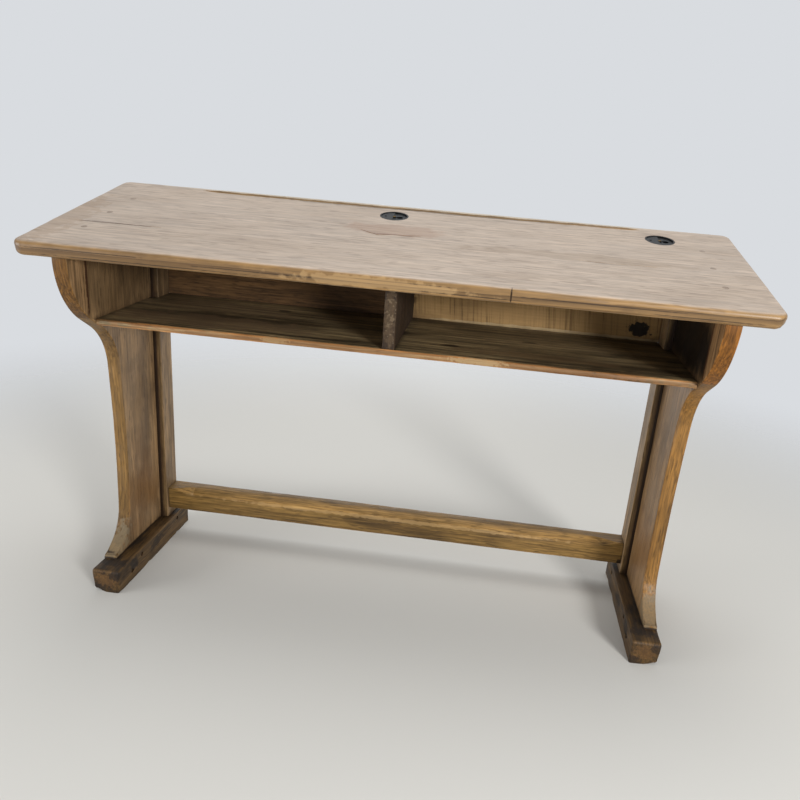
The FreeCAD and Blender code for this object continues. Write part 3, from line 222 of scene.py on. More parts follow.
@dataclass(frozen=True)
class WoodFinish:
    """Wood with its growth rings, pores, fading and worn edges.

    The colours are those of early and late wood, pores, the faded face, rubbed edges, and dirt that also
    serves as painted shade in sheltered corners, most of them with a share of strength. Tone and fibre
    are the contrast of streaks and hairs, and pith is where the tree's middle lies across the fibres.
    """

    name: str
    slot: str
    early: str
    late: str
    pore: str
    fade: str
    edge: str
    dirt_and_shade: str
    ring_mm: float
    ring_share: float
    pore_mm: Pair
    pore_share: float
    tone: float
    fibre: float
    grime_share: float
    fade_share: float
    fade_axis: Triple
    edge_share: float
    edge_axis: Triple
    rough: Pair
    coat: float
    grime_mm: Triple = (143.0, 59.0, 59.0)
    pith: Pair = (0.25, -0.15)
    shine: float = 0.3
    bump_mm: float = 0.25
    saw_mm: float = 0.0
    saw_share: float = 0.0
    patches: tuple[Patch, ...] = ()

    def material(self, label: str, grain: Grain, tilt: float, seed: float) -> Material:
        """Build the wood for one board.

        Args:
            label: Name of the board, added to the material's name.
            grain: Direction of the board's fibres.
            tilt: Slope of the board about X, in degrees.
            seed: Shift of the pattern, so that no two boards look alike.

        Returns:
            The material.
        """
        material, tree = new_material(f"{self.name}_{label}")
        place = add_node(tree, "TexCoord")
        turn = [math.radians(angle) for angle in grain.value]
        turn[0] -= math.radians(tilt)
        shift = [start + seed * step for start, step in zip((0.0, *self.pith), SEED_STEP)]
        fibre = add_node(
            tree, "Mapping", {"Vector": place.outputs["Object"], "Rotation": turn, "Location": shift}
        ).outputs[0]
        sway = self._noise(tree, fibre, SWAY_MM, detail=2.0).outputs["Color"]
        warp = (0.0, WARP_MM * MM, WARP_MM * MM)
        lift = add_node(tree, "VectorMath", {0: sway, 1: warp, 2: fibre}, operation="MULTIPLY_ADD").outputs[0]
        rings = self._rings(tree, lift)
        pores = self._pores(tree, lift, rings)
        colour = self._colour(tree, place, fibre, lift, rings)
        colour = self._blend(tree, pores, colour, self.pore, self.pore_share)
        ridges = add_node(tree, "Math", {0: rings, 1: self.ring_share}, operation="MULTIPLY").outputs[0]
        height = add_node(
            tree, "Math", {0: pores, 1: -PORE_DEPTH * self.pore_share, 2: ridges}, operation="MULTIPLY_ADD"
        ).outputs[0]
        if self.saw_mm:
            saw = self._saw_marks(tree, fibre)
            colour = self._blend(tree, saw, colour, self.pore, self.saw_share)
            height = add_node(
                tree, "Math", {0: saw, 1: -SAW_DEPTH, 2: height}, operation="MULTIPLY_ADD"
            ).outputs[0]
        for patch in self.patches:
            mask = self._patch(tree, place, patch)
            colour = self._blend(tree, mask, colour, patch.colour, patch.strength)
        # Painted shade, standing also for dirt, darkens the sheltered corners.
        colour = self._blend(tree, self._nook_shade_and_dirt(tree, fibre), colour, self.dirt_and_shade, NOOK_SHARE)
        bump = add_node(
            tree, "Bump", {"Height": height, "Strength": 0.55, "Distance": self.bump_mm * MM}
        ).outputs[0]
        cloud = self._noise(tree, fibre, CLOUD_MM, detail=3.0).outputs["Fac"]
        smooth, dull = self.rough
        rough = add_node(
            tree, "MapRange", {"Value": cloud, **CLOUD_RANGE, "To Min": smooth, "To Max": dull}
        ).outputs[0]
        shader = add_node(
            tree,
            "BsdfPrincipled",
            {
                "Base Color": colour,
                "Roughness": rough,
                "Normal": bump,
                "IOR": 1.5,
                "Specular IOR Level": self.shine,
                "Coat Weight": self.coat,
                "Coat Roughness": 0.32,
            },
        )
        close_material(tree, shader.outputs[0])
        return material

    @staticmethod
    def _noise(tree: Tree, vector: Socket, size_mm: Triple, detail: float) -> Node:
        """Add noise whose lumps have a real size.

        Args:
            tree: The material's nodes.
            vector: Where on the board, along and across the fibres.
            size_mm: Size of the lumps in millimetres, along and twice across the fibres.
            detail: How many finer layers the noise has.

        Returns:
            The noise node.
        """
        scale = [1 / (size * MM) for size in size_mm]
        stretched = add_node(tree, "Mapping", {"Vector": vector, "Scale": scale}).outputs[0]
        return add_node(
            tree, "TexNoise", {"Vector": stretched, "Scale": 1.0, "Detail": detail, "Roughness": 0.55}
        )

    def _rings(self, tree: Tree, vector: Socket) -> Socket:
        """Draw the growth rings.

        Args:
            tree: The material's nodes.
            vector: Where on the board, along and across the fibres.

        Returns:
            0 in early wood, rising to 1 at the late wood's sharp edge.
        """
        scale = WAVE_LENGTH / (self.ring_mm * MM)
        wave = add_node(
            tree,
            "TexWave",
            {"Vector": vector, "Scale": scale, "Distortion": 2.2, "Detail": 2.0, "Detail Scale": 0.06},
            wave_type="RINGS",
            rings_direction="X",
            wave_profile="SAW",
        ).outputs["Fac"]
        return add_node(tree, "Math", {0: wave, 1: 2.0}, operation="POWER").outputs[0]

    def _pores(self, tree: Tree, vector: Socket, rings: Socket) -> Socket:
        """Draw the dark pore dashes, which crowd in the early wood.

        Args:
            tree: The material's nodes.
            vector: Where on the board, along and across the fibres.
            rings: The growth rings.

        Returns:
            The dashes' mask.
        """
        along, across = self.pore_mm
        fine = self._noise(tree, vector, (along, across, across), detail=1.0).outputs["Fac"]
        dash = add_node(
            tree, "MapRange", {"Value": fine, **PORE_RANGE}, interpolation_type="SMOOTHSTEP"
        ).outputs[0]
        early = add_node(tree, "MapRange", {"Value": rings, "To Min": 1.0, "To Max": 0.25}).outputs[0]
        return add_node(tree, "Math", {0: dash, 1: early}, operation="MULTIPLY").outputs[0]

    def _saw_marks(self, tree: Tree, fibre: Socket) -> Socket:
        """Draw the uneven marks that a saw left across the fibres, a little aslant.

        Args:
            tree: The material's nodes.
            fibre: Where on the board, along and across the fibres.

        Returns:
            The marks' mask.
        """
        leaning = add_node(tree, "Mapping", {"Vector": fibre, "Rotation": SAW_SLANT}).outputs[0]
        size_mm = (self.saw_mm, SAW_LENGTH_MM, SAW_LENGTH_MM)
        lines = self._noise(tree, leaning, size_mm, detail=2.0).outputs["Fac"]
        sharp = add_node(
            tree, "MapRange", {"Value": lines, **SAW_RANGE}, interpolation_type="SMOOTHSTEP"
        ).outputs[0]
        worn = self._noise(tree, fibre, SAW_WORN_MM, detail=4.0).outputs["Fac"]
        share = add_node(tree, "MapRange", {"Value": worn, **SAW_WORN_RANGE}).outputs[0]
        return add_node(tree, "Math", {0: sharp, 1: share}, operation="MULTIPLY").outputs[0]

    def _nook_shade_and_dirt(self, tree: Tree, fibre: Socket) -> Socket:
        """Draw the painted shade in sheltered corners, smeared, which also stands for dirt there.

        Args:
            tree: The material's nodes.
            fibre: Where on the board, along and across the fibres.

        Returns:
            The mask of the painted shade and dirt.
        """
        nook = add_node(tree, "Attribute", attribute_name=NOOK).outputs["Fac"]
        smear = self._noise(tree, fibre, SMEAR_MM, detail=3.0).outputs["Fac"]
        shade_and_dirt = add_node(
            tree, "Math", {0: smear, 1: SMEAR_SHARE, 2: nook}, operation="MULTIPLY_ADD"
        ).outputs[0]
        return add_node(
            tree, "MapRange", {"Value": shade_and_dirt, **NOOK_RANGE}, interpolation_type="SMOOTHSTEP"
        ).outputs[0]

    @staticmethod
    def _facing(tree: Tree, place: Node, axis: Triple) -> Socket:
        """Tell how far a surface faces one way or the other along an axis.

        Args:
            tree: The material's nodes.
            place: The texture coordinates.
            axis: The axis.

        Returns:
            The squared cosine between the surface's normal and the axis.
        """
        facing = add_node(
            tree,
            "VectorMath",
            {0: place.outputs["Normal"], 1: Vector(axis).normalized()},
            operation="DOT_PRODUCT",
        ).outputs["Value"]
        return add_node(tree, "Math", {0: facing, 1: facing}, operation="MULTIPLY").outputs[0]

    @staticmethod
    def _shade(tree: Tree, colour: Socket, pattern: Socket, share: float) -> Socket:
        """Darken and lighten a colour through a noise pattern.

        Args:
            tree: The material's nodes.
            colour: The colour.
            pattern: The noise.
            share: By how much at most, as a share of the colour's value.

        Returns:
            The shaded colour.
        """
        value = add_node(
            tree, "MapRange", {"Value": pattern, **SHADE_RANGE, "To Min": 1 - share, "To Max": 1 + share}
        ).outputs[0]
        return add_node(tree, "HueSaturation", {"Color": colour, "Value": value}).outputs[0]

    @staticmethod
    def _blend(tree: Tree, mask: Socket, below: Socket, above: str, share: float) -> Socket:
        """Lay a colour over another through a mask at a share of its strength."""
        weight = add_node(tree, "Math", {0: mask, 1: share}, operation="MULTIPLY", use_clamp=True).outputs[0]
        return add_node(tree, "Mix", {0: weight, 6: below, 7: linear(above)}, data_type="RGBA").outputs[2]

    @staticmethod
    def _patch(tree: Tree, place: Node, patch: Patch) -> Socket:
        """Draw one ragged patch.

        Args:
            tree: The material's nodes.
            place: The texture coordinates.
            patch: The patch.

        Returns:
            The patch's mask.
        """
        here = place.outputs["Object"]
        offset = add_node(tree, "VectorMath", {0: here, 1: patch.centre}, operation="SUBTRACT").outputs[0]
        share = add_node(tree, "VectorMath", {0: offset, 1: patch.radii}, operation="DIVIDE").outputs[0]
        reach = add_node(tree, "VectorMath", {0: share}, operation="LENGTH").outputs["Value"]
        speck = add_node(
            tree, "TexNoise", {"Vector": here, "Scale": 1 / (patch.speck_mm * MM), "Detail": 3.0}
        ).outputs["Fac"]
        edge = add_node(
            tree, "Math", {0: speck, 1: patch.ragged * 2, 2: reach}, operation="MULTIPLY_ADD"
        ).outputs[0]
        outside = 1.0 + patch.ragged
        span = {"From Min": outside - patch.soft, "From Max": outside, "To Min": 1.0, "To Max": 0.0}
        return add_node(
            tree, "MapRange", {"Value": edge, **span}, interpolation_type="SMOOTHSTEP"
        ).outputs[0]

    def _colour(self, tree: Tree, place: Node, fibre: Socket, lift: Socket, rings: Socket) -> Socket:
        """Lay fading, dirt, worn edges and streaks over the rings.

        Args:
            tree: The material's nodes.
            place: The texture coordinates.
            fibre: Where on the board, along and across the fibres.
            lift: The same, swaying as the fibres do.
            rings: The growth rings.

        Returns:
            The wood's colour without its pores.
        """
        weight = add_node(tree, "Math", {0: rings, 1: self.ring_share}, operation="MULTIPLY").outputs[0]
        colours = {6: linear(self.early), 7: linear(self.late)}
        base = add_node(tree, "Mix", {0: weight, **colours}, data_type="RGBA").outputs[2]
        if self.fade_share:
            facing = self._facing(tree, place, self.fade_axis)
            open_face = add_node(
                tree, "MapRange", {"Value": facing, **OPEN_RANGE}, interpolation_type="SMOOTHSTEP"
            ).outputs[0]
            base = self._blend(tree, open_face, base, self.fade, self.fade_share)
        soot = self._noise(tree, fibre, self.grime_mm, detail=6.0).outputs["Fac"]
        stain = add_node(
            tree, "MapRange", {"Value": soot, **STAIN_RANGE}, interpolation_type="SMOOTHSTEP"
        ).outputs[0]
        base = self._blend(tree, stain, base, self.dirt_and_shade, self.grime_share)
        square = self._facing(tree, place, self.edge_axis)
        rest = add_node(tree, "Math", {0: 1.0, 1: square}, operation="SUBTRACT").outputs[0]
        arris = add_node(tree, "Math", {0: square, 1: rest}, operation="MULTIPLY").outputs[0]
        rub = self._noise(tree, fibre, RUB_MM, detail=3.0).outputs["Fac"]
        worn = add_node(tree, "MapRange", {"Value": rub, **RUB_RANGE}).outputs[0]
        rubbed = add_node(tree, "Math", {0: arris, 1: worn}, operation="MULTIPLY").outputs[0]
        base = self._blend(tree, rubbed, base, self.edge, self.edge_share)
        streak = self._noise(tree, lift, STREAK_MM, detail=4.0).outputs["Fac"]
        base = self._shade(tree, base, streak, self.tone)
        hair = self._noise(tree, lift, HAIR_MM, detail=3.0).outputs["Fac"]
        return self._shade(tree, base, hair, self.fibre)


@dataclass(frozen=True)
class SolidFinish:
    """A moulded, pressed, drawn or turned material with a little dirt on it."""

    name: str
    colour: str
    dirt: str
    rough: Pair
    metallic: float = 0.0
    ior: float = 1.5
    transmission: float = 0.0
    shine: float = 0.5
    dirt_share: float = 0.4
    speck_mm: float = 4.0
    bump_mm: float = 0.1

    def material(self) -> Material:
        """Build the material.

        Returns:
            The material.
        """
        material, tree = new_material(self.name)
        place = add_node(tree, "TexCoord").outputs["Object"]
        speck = add_node(
            tree, "TexNoise", {"Vector": place, "Scale": 1 / (self.speck_mm * MM), "Detail": 4.0}
        ).outputs["Fac"]
        dirt = add_node(
            tree,
            "MapRange",
            {"Value": speck, **SPECK_RANGE, "To Max": self.dirt_share},
            interpolation_type="SMOOTHSTEP",
        ).outputs[0]
        colours = {6: linear(self.colour), 7: linear(self.dirt)}
        colour = add_node(tree, "Mix", {0: dirt, **colours}, data_type="RGBA").outputs[2]
        smooth, dull = self.rough
        rough = add_node(tree, "MapRange", {"Value": speck, "To Min": smooth, "To Max": dull}).outputs[0]
        bump = add_node(
            tree, "Bump", {"Height": speck, "Strength": 0.25, "Distance": self.bump_mm * MM}
        ).outputs[0]
        shader = add_node(
            tree,
            "BsdfPrincipled",
            {
                "Base Color": colour,
                "Roughness": rough,
                "Normal": bump,
                "Metallic": self.metallic,
                "IOR": self.ior,
                "Transmission Weight": self.transmission,
                "Specular IOR Level": self.shine,
            },
        )
        close_material(tree, shader.outputs[0])
        return material


# Oak, planed and waxed, then bleached by years of daylight: a grey-brown face with fine straight lines, a
# soft sheen, and golden wood where hands and sleeves have rubbed the edges. Its pores of 0.3 mm and rings of
# 2 to 4 mm are drawn 5 and 5.6 mm wide, so that they show.
WAXED_OAK = WoodFinish(
    name="oak_planed_waxed",
    slot="worn_top_wood",
    early="#8a6b43",
    late="#38240f",
    pore="#4a3422",
    fade="#bcab9a",
    edge="#a9834f",
    dirt_and_shade="#6e553c",
    ring_mm=5.6,
    ring_share=0.8,
    pore_mm=(30.0, 5.0),
    pore_share=0.3,
    tone=0.09,
    fibre=0.2,
    grime_share=0.22,
    fade_share=0.84,
    fade_axis=OFF_THE_TOP,
    edge_share=0.5,
    edge_axis=OFF_THE_TOP,
    rough=(0.36, 0.5),
    coat=0.06,
    shine=0.45,
    bump_mm=0.3,
)

# Oak, stained brown and varnished by hand: the stain lies dark in the pores and has dulled on the faces, and
# the edges show orange-brown wood. Pores of 0.3 mm and rings of 2 to 4 mm are drawn 2.8 and 5.4 mm wide, so
# that they show.
STAINED_OAK = WoodFinish(
    name="oak_stained_varnished",
    slot="frame_wood",
    early="#7f6034",
    late="#583d1e",
    pore="#2a1b0c",
    fade="#997d5d",
    edge="#8d6936",
    dirt_and_shade="#2a1b0e",
    ring_mm=5.4,
    ring_share=0.45,
    pore_mm=(26.0, 2.8),
    pore_share=0.55,
    tone=0.3,
    fibre=0.38,
    grime_share=0.62,
    grime_mm=(222.0, 71.5, 71.5),
    fade_share=0.6,
    fade_axis=SIDEWAYS,
    edge_share=0.45,
    edge_axis=SIDEWAYS,
    pith=(0.18, 0.10),
    rough=(0.4, 0.58),
    coat=0.03,
)

# Oak that has stood on wet floors: the stain has gone nearly black, and the grain stands rough.
SCUFFED_OAK = replace(
    STAINED_OAK,
    name="oak_stained_scuffed",
    slot="foot_wood",
    early="#503a1c",
    late="#372510",
    pore="#140c06",
    fade="#544027",
    edge="#6a4e2b",
    edge_axis=UPWARDS,
    ring_mm=6.0,
    ring_share=0.4,
    tone=0.35,
    dirt_and_shade="#120b06",
    grime_share=0.85,
    grime_mm=(62.5, 24.0, 24.0),
    rough=(0.48, 0.7),
    coat=0.0,
    bump_mm=0.5,
)

# Oak rubbed by shoes: honey-coloured, polished along the upper edge.
RUBBED_OAK = replace(
    STAINED_OAK,
    name="oak_rubbed",
    slot="rail_wood",
    early="#866838",
    late="#573e1f",
    edge="#b28a52",
    edge_axis=UPWARDS,
    edge_share=0.5,
    fade_share=0.0,
    ring_mm=4.0,
)

# Elm boards with an old dark stain: streaky, dull, and paler where books have slid in and out.
DARK_ELM = replace(
    STAINED_OAK,
    name="elm_stained_dull",
    slot="shelf_wood",
    early="#887656",
    late="#443523",
    pore="#120b06",
    edge="#b0743c",
    edge_axis=UPWARDS,
    edge_share=0.75,
    fade_share=0.0,
    tone=0.75,
    fibre=0.45,
    dirt_and_shade="#120b06",
    grime_share=0.75,
    rough=(0.36, 0.58),
    coat=0.0,
)

# Deal left rough from the saw and darkened by handling: furred, without any shine. Its dark colours are also
# painted shade for the divider's sides out of the light. Saw marks of 2 to 3 mm are drawn 6 mm wide, so
# that they show.
SAWN_DEAL = replace(
    STAINED_OAK,
    name="deal_rough_sawn",
    slot="divider_wood",
    early="#332415",
    late="#1f150b",
    pore="#170f09",
    edge="#6d543a",
    fade_share=0.0,
    ring_mm=5.0,
    rough=(0.65, 0.85),
    coat=0.0,
    bump_mm=0.8,
    saw_mm=6.0,
    saw_share=0.45,
)

# Deal with the same old stain as the frame: dull brown, its saw marks filled.
STAINED_DEAL = replace(
    SAWN_DEAL,
    name="deal_stained",
    slot="dark_back_wood",
    early="#6f5233",
    late="#4c341d",
    edge="#7a5a39",
    saw_mm=0.0,
    edge_axis=UPWARDS,
    bump_mm=0.4,
)

# Newer deal, bare from the saw: yellow, with upright saw marks about 3 mm apart across its grain.
BARE_DEAL = replace(
    SAWN_DEAL,
    name="deal_bare_sawn",
    slot="pale_back_wood",
    early="#ae8b5a",
    late="#8a6a40",
    pore="#3f2c1a",
    edge="#c3a676",
    edge_axis=UPWARDS,
    saw_mm=3.4,
    saw_share=0.6,
    ring_share=0.15,
    pore_share=0.05,
    fibre=0.05,
    tone=0.04,
    dirt_and_shade="#4a3620",
    grime_share=0.4,
    grime_mm=(167.0, 55.5, 55.5),
)

# Oak end grain, sanded flush: a little darker than the face around it.
END_GRAIN_OAK = replace(
    WAXED_OAK,
    name="oak_end_grain",
    slot="plug_wood",
    early="#6f5a43",
    late="#463424",
    fade_share=0.4,
    edge_share=0.0,
    ring_mm=1.8,
)

# Oak end grain, cut off with a chisel and stained: it drinks the stain and is nearly black.
PEG_OAK = replace(
    SCUFFED_OAK,
    name="oak_peg_end_grain",
    slot="peg_wood",
    early="#4a3523",
    late="#2e2014",
    fade_share=0.0,
    ring_mm=1.8,
)

# Phenolic plastic, compression moulded: black, glossy, dulled by dust and dried ink.
PHENOLIC = SolidFinish("phenolic_moulded", "#070809", "#161718", rough=(0.3, 0.55), shine=0.3)

# Glass, pressed in a mould: thick, smooth, and stained blue-black by ink.
INKY_GLASS = SolidFinish(
    "glass_pressed_inky",
    "#3a4250",
    "#14161f",
    rough=(0.08, 0.25),
    ior=1.52,
    transmission=0.55,
    dirt_share=0.7,
    speck_mm=14.0,
)

# Drawn steel gone brown: dull, with rust in the slots. Rust specks of less than 1 mm are drawn 2 mm wide.
BROWNED_STEEL = SolidFinish(
    "steel_drawn_browned", "#6a645c", "#4a3020", rough=(0.38, 0.6), metallic=0.85, speck_mm=2.0
)

# Turned brass with a brown tarnish: a dim gold. Its specks of less than 1 mm are drawn 2 mm wide.
TARNISHED_BRASS = SolidFinish(
    "brass_turned_tarnished", "#5a4726", "#1f170c", rough=(0.35, 0.55), metallic=1.0, speck_mm=2.0
)


# Wear in the meshes

INF = math.inf
OPEN = (-INF, INF)
WELD = 2e-6
CUT_GAP = 1e-6
FLAT_ANGLE = math.radians(0.3)
SHARP_ANGLE = math.radians(38)
JOINT_FADE_MM = 14.0
FITTING_FADE_MM = 20.0
# A vertex lies on an arris if its faces turn away from its normal by more than this, as 1 minus the cosine.
ARRIS_START = 0.0008
ARRIS_SPAN = 0.006
FINE_NICK = 0.37
FINE_SHARE = 0.6
FLAT_DENT = 0.35
NOISE_STEP = Vector((3.1, 1.7, 2.3))
# How far round a split its faces are cut, along and across it.
SPLIT_ROOM = (0.02, 0.03)
UPPER_FACE = 0.9
TAPER = 4.0


@dataclass(frozen=True)
class Dent:
    """A hollow knocked or rubbed into a board, in the board's own frame in millimetres."""

    centre_mm: Triple
    radii_mm: Triple
    depth_mm: float


@dataclass(frozen=True)
class Crack:
    """A split along the grain of a board's upper side, as points in its own frame in millimetres."""

    points_mm: tuple[Pair, ...]
    width_mm: float
    depth_mm: float


@dataclass(frozen=True)
class Wear:
    """How use has changed a board's shape.

    The mesh is cut at steps along each axis. Places outside the free spans of X, Y and Z stay sound for the
    joints, and so do round places of the upper side, each an X, a Y and a radius.
    """

    step_mm: Triple
    sway_mm: float = 0.35
    sway_span_mm: float = 170.0
    nick_mm: float = 0.9
    nick_span_mm: float = 30.0
    dents: tuple[Dent, ...] = ()
    cracks: tuple[Crack, ...] = ()
    cuts_mm: tuple[float, ...] = ()
    sound_mm: tuple[Triple, ...] = ()
    free_mm: tuple[Pair, Pair, Pair] = (OPEN, OPEN, OPEN)
    square_mm: float = 0.0

    def share(self, place: Vector) -> float:
        """Tell how far a place is worn.

        Args:
            place: The place in the board's own frame in millimetres.

        Returns:
            0 beside joints and fittings, 1 well away from them.
        """
        share = 1.0
        for here, (low, high) in zip(place, self.free_mm):
            share = min(share, max(0.0, min(here - low, high - here) / JOINT_FADE_MM))
        for x, y, reach in self.sound_mm:
            away = math.hypot(place.x - x, place.y - y) - reach
            share = min(share, max(0.0, away / FITTING_FADE_MM))
        return share


@dataclass
class Board:
    """One wooden board, built as a worn copy of its solid."""

    node: str
    finish: WoodFinish
    grain: Grain
    wear: Wear
    seed: float
    origin: Triple = (0.0, 0.0, 0.0)
    tilt: float = 0.0

    def build(self, nodes: Nodes) -> Item:
        """Build the board's worn mesh in place of its solid and dress it.

        Args:
            nodes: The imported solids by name.

        Returns:
            The board's object.
        """
        local = Matrix.Translation(self.origin) @ Matrix.Rotation(math.radians(self.tilt), 4, "X")
        mesh = bmesh.new()
        mesh.from_mesh(nodes[self.node].data)
        bmesh.ops.remove_doubles(mesh, verts=mesh.verts[:], dist=WELD)
        bmesh.ops.dissolve_limit(mesh, angle_limit=FLAT_ANGLE, verts=mesh.verts[:], edges=mesh.edges[:])
        mesh.transform(local.inverted())
        for axis, step in enumerate(self.wear.step_mm):
            self._slice(mesh, axis, step * MM)
        for cut in self.wear.cuts_mm:
            self._cut(mesh, 0, cut * MM)
        for crack in self.wear.cracks:
            self._split(mesh, crack)
        self._rub(mesh)
        self._square(mesh)
        mesh.transform(local)
        data = bpy.data.meshes.new(f"worn_{self.node}")
        mesh.to_mesh(data)
        mesh.free()
        data.attributes.remove(data.attributes["custom_normal"])
        data.shade_smooth()
        data.set_sharp_from_angle(angle=SHARP_ANGLE)
        item = bpy.data.objects.new(f"worn_{self.node}", data)
        put(item)
        dress(item, self.finish.material(self.node, self.grain, self.tilt, self.seed))
        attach(item, DESK)
        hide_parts(self.node)
        return item

    @staticmethod
    def _slice(mesh: Mesh, axis: int, step: float) -> None:
        """Cut the mesh across an axis at even steps, so that its faces can bend.

        Args:
            mesh: The board's mesh.
            axis: 0 for X, 1 for Y or 2 for Z.
            step: The longest step, or 0 for no cut.
        """
        if not step:
            return
        places = [vert.co[axis] for vert in mesh.verts]
        low, high = min(places), max(places)
        count = int((high - low) / step)
        for cut in range(1, count + 1):
            Board._cut(mesh, axis, low + (high - low) * cut / (count + 1))

    @staticmethod
    def _cut(mesh: Mesh, axis: int, place: float) -> None:
        """Cut the mesh across an axis at one place.

        Args:
            mesh: The board's mesh.
            axis: 0 for X, 1 for Y or 2 for Z.
            place: Where along the axis.
        """
        normal = Vector([float(axis == index) for index in range(3)])
        parts = mesh.verts[:] + mesh.edges[:] + mesh.faces[:]
        bmesh.ops.bisect_plane(mesh, geom=parts, dist=CUT_GAP, plane_co=normal * place, plane_no=normal)

    @staticmethod
    def _split(mesh: Mesh, crack: Crack) -> None:
        """Open a split in the upper side, as a narrow V along its points.

        Args:
            mesh: The board's mesh in the board's own frame.
            crack: The split.
        """
        half, depth = crack.width_mm * MM / 2, crack.depth_mm * MM
        ahead, aside = SPLIT_ROOM
        points = [Vector((x * MM, y * MM, 0.0)) for x, y in crack.points_mm]
        last = len(points) - 2
        for index, (start, end) in enumerate(zip(points, points[1:])):
            along = (end - start).normalized()
            across = Vector((-along.y, along.x, 0.0))
            length = (end - start).length
            for offset in (-half, 0.0, half):
                faces = [
                    face
                    for face in mesh.faces
                    if face.normal.z > UPPER_FACE
                    and any(
                        -ahead < (vert.co - start).dot(along) < length + ahead
                        and abs((vert.co - start).dot(across)) < aside
                        for vert in face.verts
                    )
                ]
                edges = dict.fromkeys(edge for face in faces for edge in face.edges)
                verts = dict.fromkeys(vert for face in faces for vert in face.verts)
                parts = [*verts, *edges, *faces]
                middle = start + across * offset
                bmesh.ops.bisect_plane(mesh, geom=parts, dist=CUT_GAP, plane_co=middle, plane_no=across)
            for vert in mesh.verts:
                reach = (vert.co - start).dot(along)
                if abs(vert.co.z) > 0.1 * MM or not 0 <= reach <= length:
                    continue
                if abs((vert.co - start).dot(across)) < half * 0.2:
                    share = reach / length
                    opening = TAPER * share if index == 0 else 1.0
                    closing = TAPER * (1 - share) if index == last else 1.0
                    vert.co.z -= depth * min(1.0, opening, closing)

    def _square(self, mesh: Mesh) -> None:
        """Bring the lower front edge to a sharp corner, so that no light comes in over the shelf.

        Args:
            mesh: The board's mesh in the board's own frame.
        """
        reach = self.wear.square_mm * MM
        low = min(vert.co.z for vert in mesh.verts)
        front = min(vert.co.y for vert in mesh.verts)
        for vert in mesh.verts:
            if vert.co.z < low + reach and vert.co.y < front + reach:
                vert.co.y = front

    def _rub(self, mesh: Mesh) -> None:
        """Wear the surface inwards: a slow sway on the flats, nicks on the edges, and the dents.

        Args:
            mesh: The board's mesh in the board's own frame.
        """
        wear = self.wear
        mesh.normal_update()
        shift = NOISE_STEP * self.seed
        moves: dict[bmesh.types.BMVert, Vector] = {}
        for vert in mesh.verts:
            normal = vert.normal
            spread = 1 - min((normal.dot(face.normal) for face in vert.link_faces), default=1.0)
            arris = min(1.0, max(0.0, (spread - ARRIS_START) / ARRIS_SPAN))
            place = vert.co / MM
            share = wear.share(place)
            if not share:
                continue
            slow = noise.noise(place / wear.sway_span_mm + shift)
            quick = noise.noise(place / wear.nick_span_mm + shift)
            quick += FINE_SHARE * noise.noise(place / (wear.nick_span_mm * FINE_NICK) + shift)
            depth = wear.sway_mm * (1 + slow) / 2 + wear.nick_mm * arris * max(0.0, quick)
            for dent in wear.dents:
                offset = place - Vector(dent.centre_mm)
                reach = sum((offset[axis] / dent.radii_mm[axis]) ** 2 for axis in range(3))
                if reach < 1:
                    depth += dent.depth_mm * (1 - reach) ** 2 * (FLAT_DENT + (1 - FLAT_DENT) * arris)
            moves[vert] = normal * (-depth * share * MM)
        for vert, move in moves.items():
            vert.co += move


@dataclass(frozen=True)
class NookShadeAndDirt:
    """Painted shade, which also stands for dirt, where neighbouring surfaces shelter a point."""

    reach_mm: float = 55.0
    rays: int = 36
    inset: float = 0.08
    grazing: float = 0.1

    def store_shelter(self, items: Sequence[Item], others: Sequence[Item]) -> None:
        """Store on each board how sheltered its points are, 0 in the open to 1 in a deep corner.

        Args:
            items: The boards that get the painted shade and dirt.
            others: Further objects that shelter them.
        """
        points: list[Vector] = []
        faces: list[list[int]] = []
        for item in [*items, *others]:
            first = len(points)
            points.extend(vert.co.copy() for vert in item.data.vertices)
            faces.extend([first + corner for corner in polygon.vertices] for polygon in item.data.polygons)
        tree = BVHTree.FromPolygons(points, faces)
        directions = self._directions()
        for item in items:
            data = item.data
            known: dict[tuple[float, ...], float] = {}
            shelter: list[float] = []
            for polygon in data.polygons:
                for corner, index in zip(polygon.loop_indices, polygon.vertices):
                    normal = data.corner_normals[corner].vector
                    key = (index, *(round(number, 1) for number in normal))
                    if key not in known:
                        start = data.vertices[index].co.lerp(polygon.center, self.inset) + normal * MM
                        known[key] = self._shelter(tree, start, normal, directions)
                    shelter.append(known[key])
            data.attributes.new(NOOK, "FLOAT", "CORNER").data.foreach_set("value", shelter)

    def _shelter(self, tree: BVHTree, start: Vector, normal: Vector, directions: Sequence[Vector]) -> float:
        """Tell how much of the view from one point is closed off by near surfaces.

        Args:
            tree: All surfaces.
            start: The point, just off its surface.
            normal: The surface's normal there.
            directions: Where to look.

        Returns:
            The share that is closed off, 0 to 1.
        """
        reach = self.reach_mm * MM
        total, weight = 0.0, 0.0
        for direction in directions:
            facing = direction.dot(normal)
            if facing < self.grazing:
                continue
            weight += facing
            distance = tree.ray_cast(start, direction, reach)[3]
            if distance is not None:
                total += facing * (1 - distance / reach)
        return total / max(weight, 1e-6)

    def _directions(self) -> list[Vector]:
        """Spread directions evenly over the whole sphere.

        Returns:
            The directions.
        """
        turn = math.pi * (3 - math.sqrt(5))
        spread = []
        for index in range(self.rays):
            z = 1 - (2 * index + 1) / self.rays
            ring = math.sqrt(1 - z * z)
            spread.append(Vector((ring * math.cos(turn * index), ring * math.sin(turn * index), z)))
        return spread


# Sub-assemblies


class Side(Enum):
    """An end of the desk, as the sign of its X."""

    LEFT = -1.0
    RIGHT = 1.0

    def piece(self, name: str) -> str:
        """Return the full name of a piece on this side."""
        return f"{self.name.lower()}_{name}"


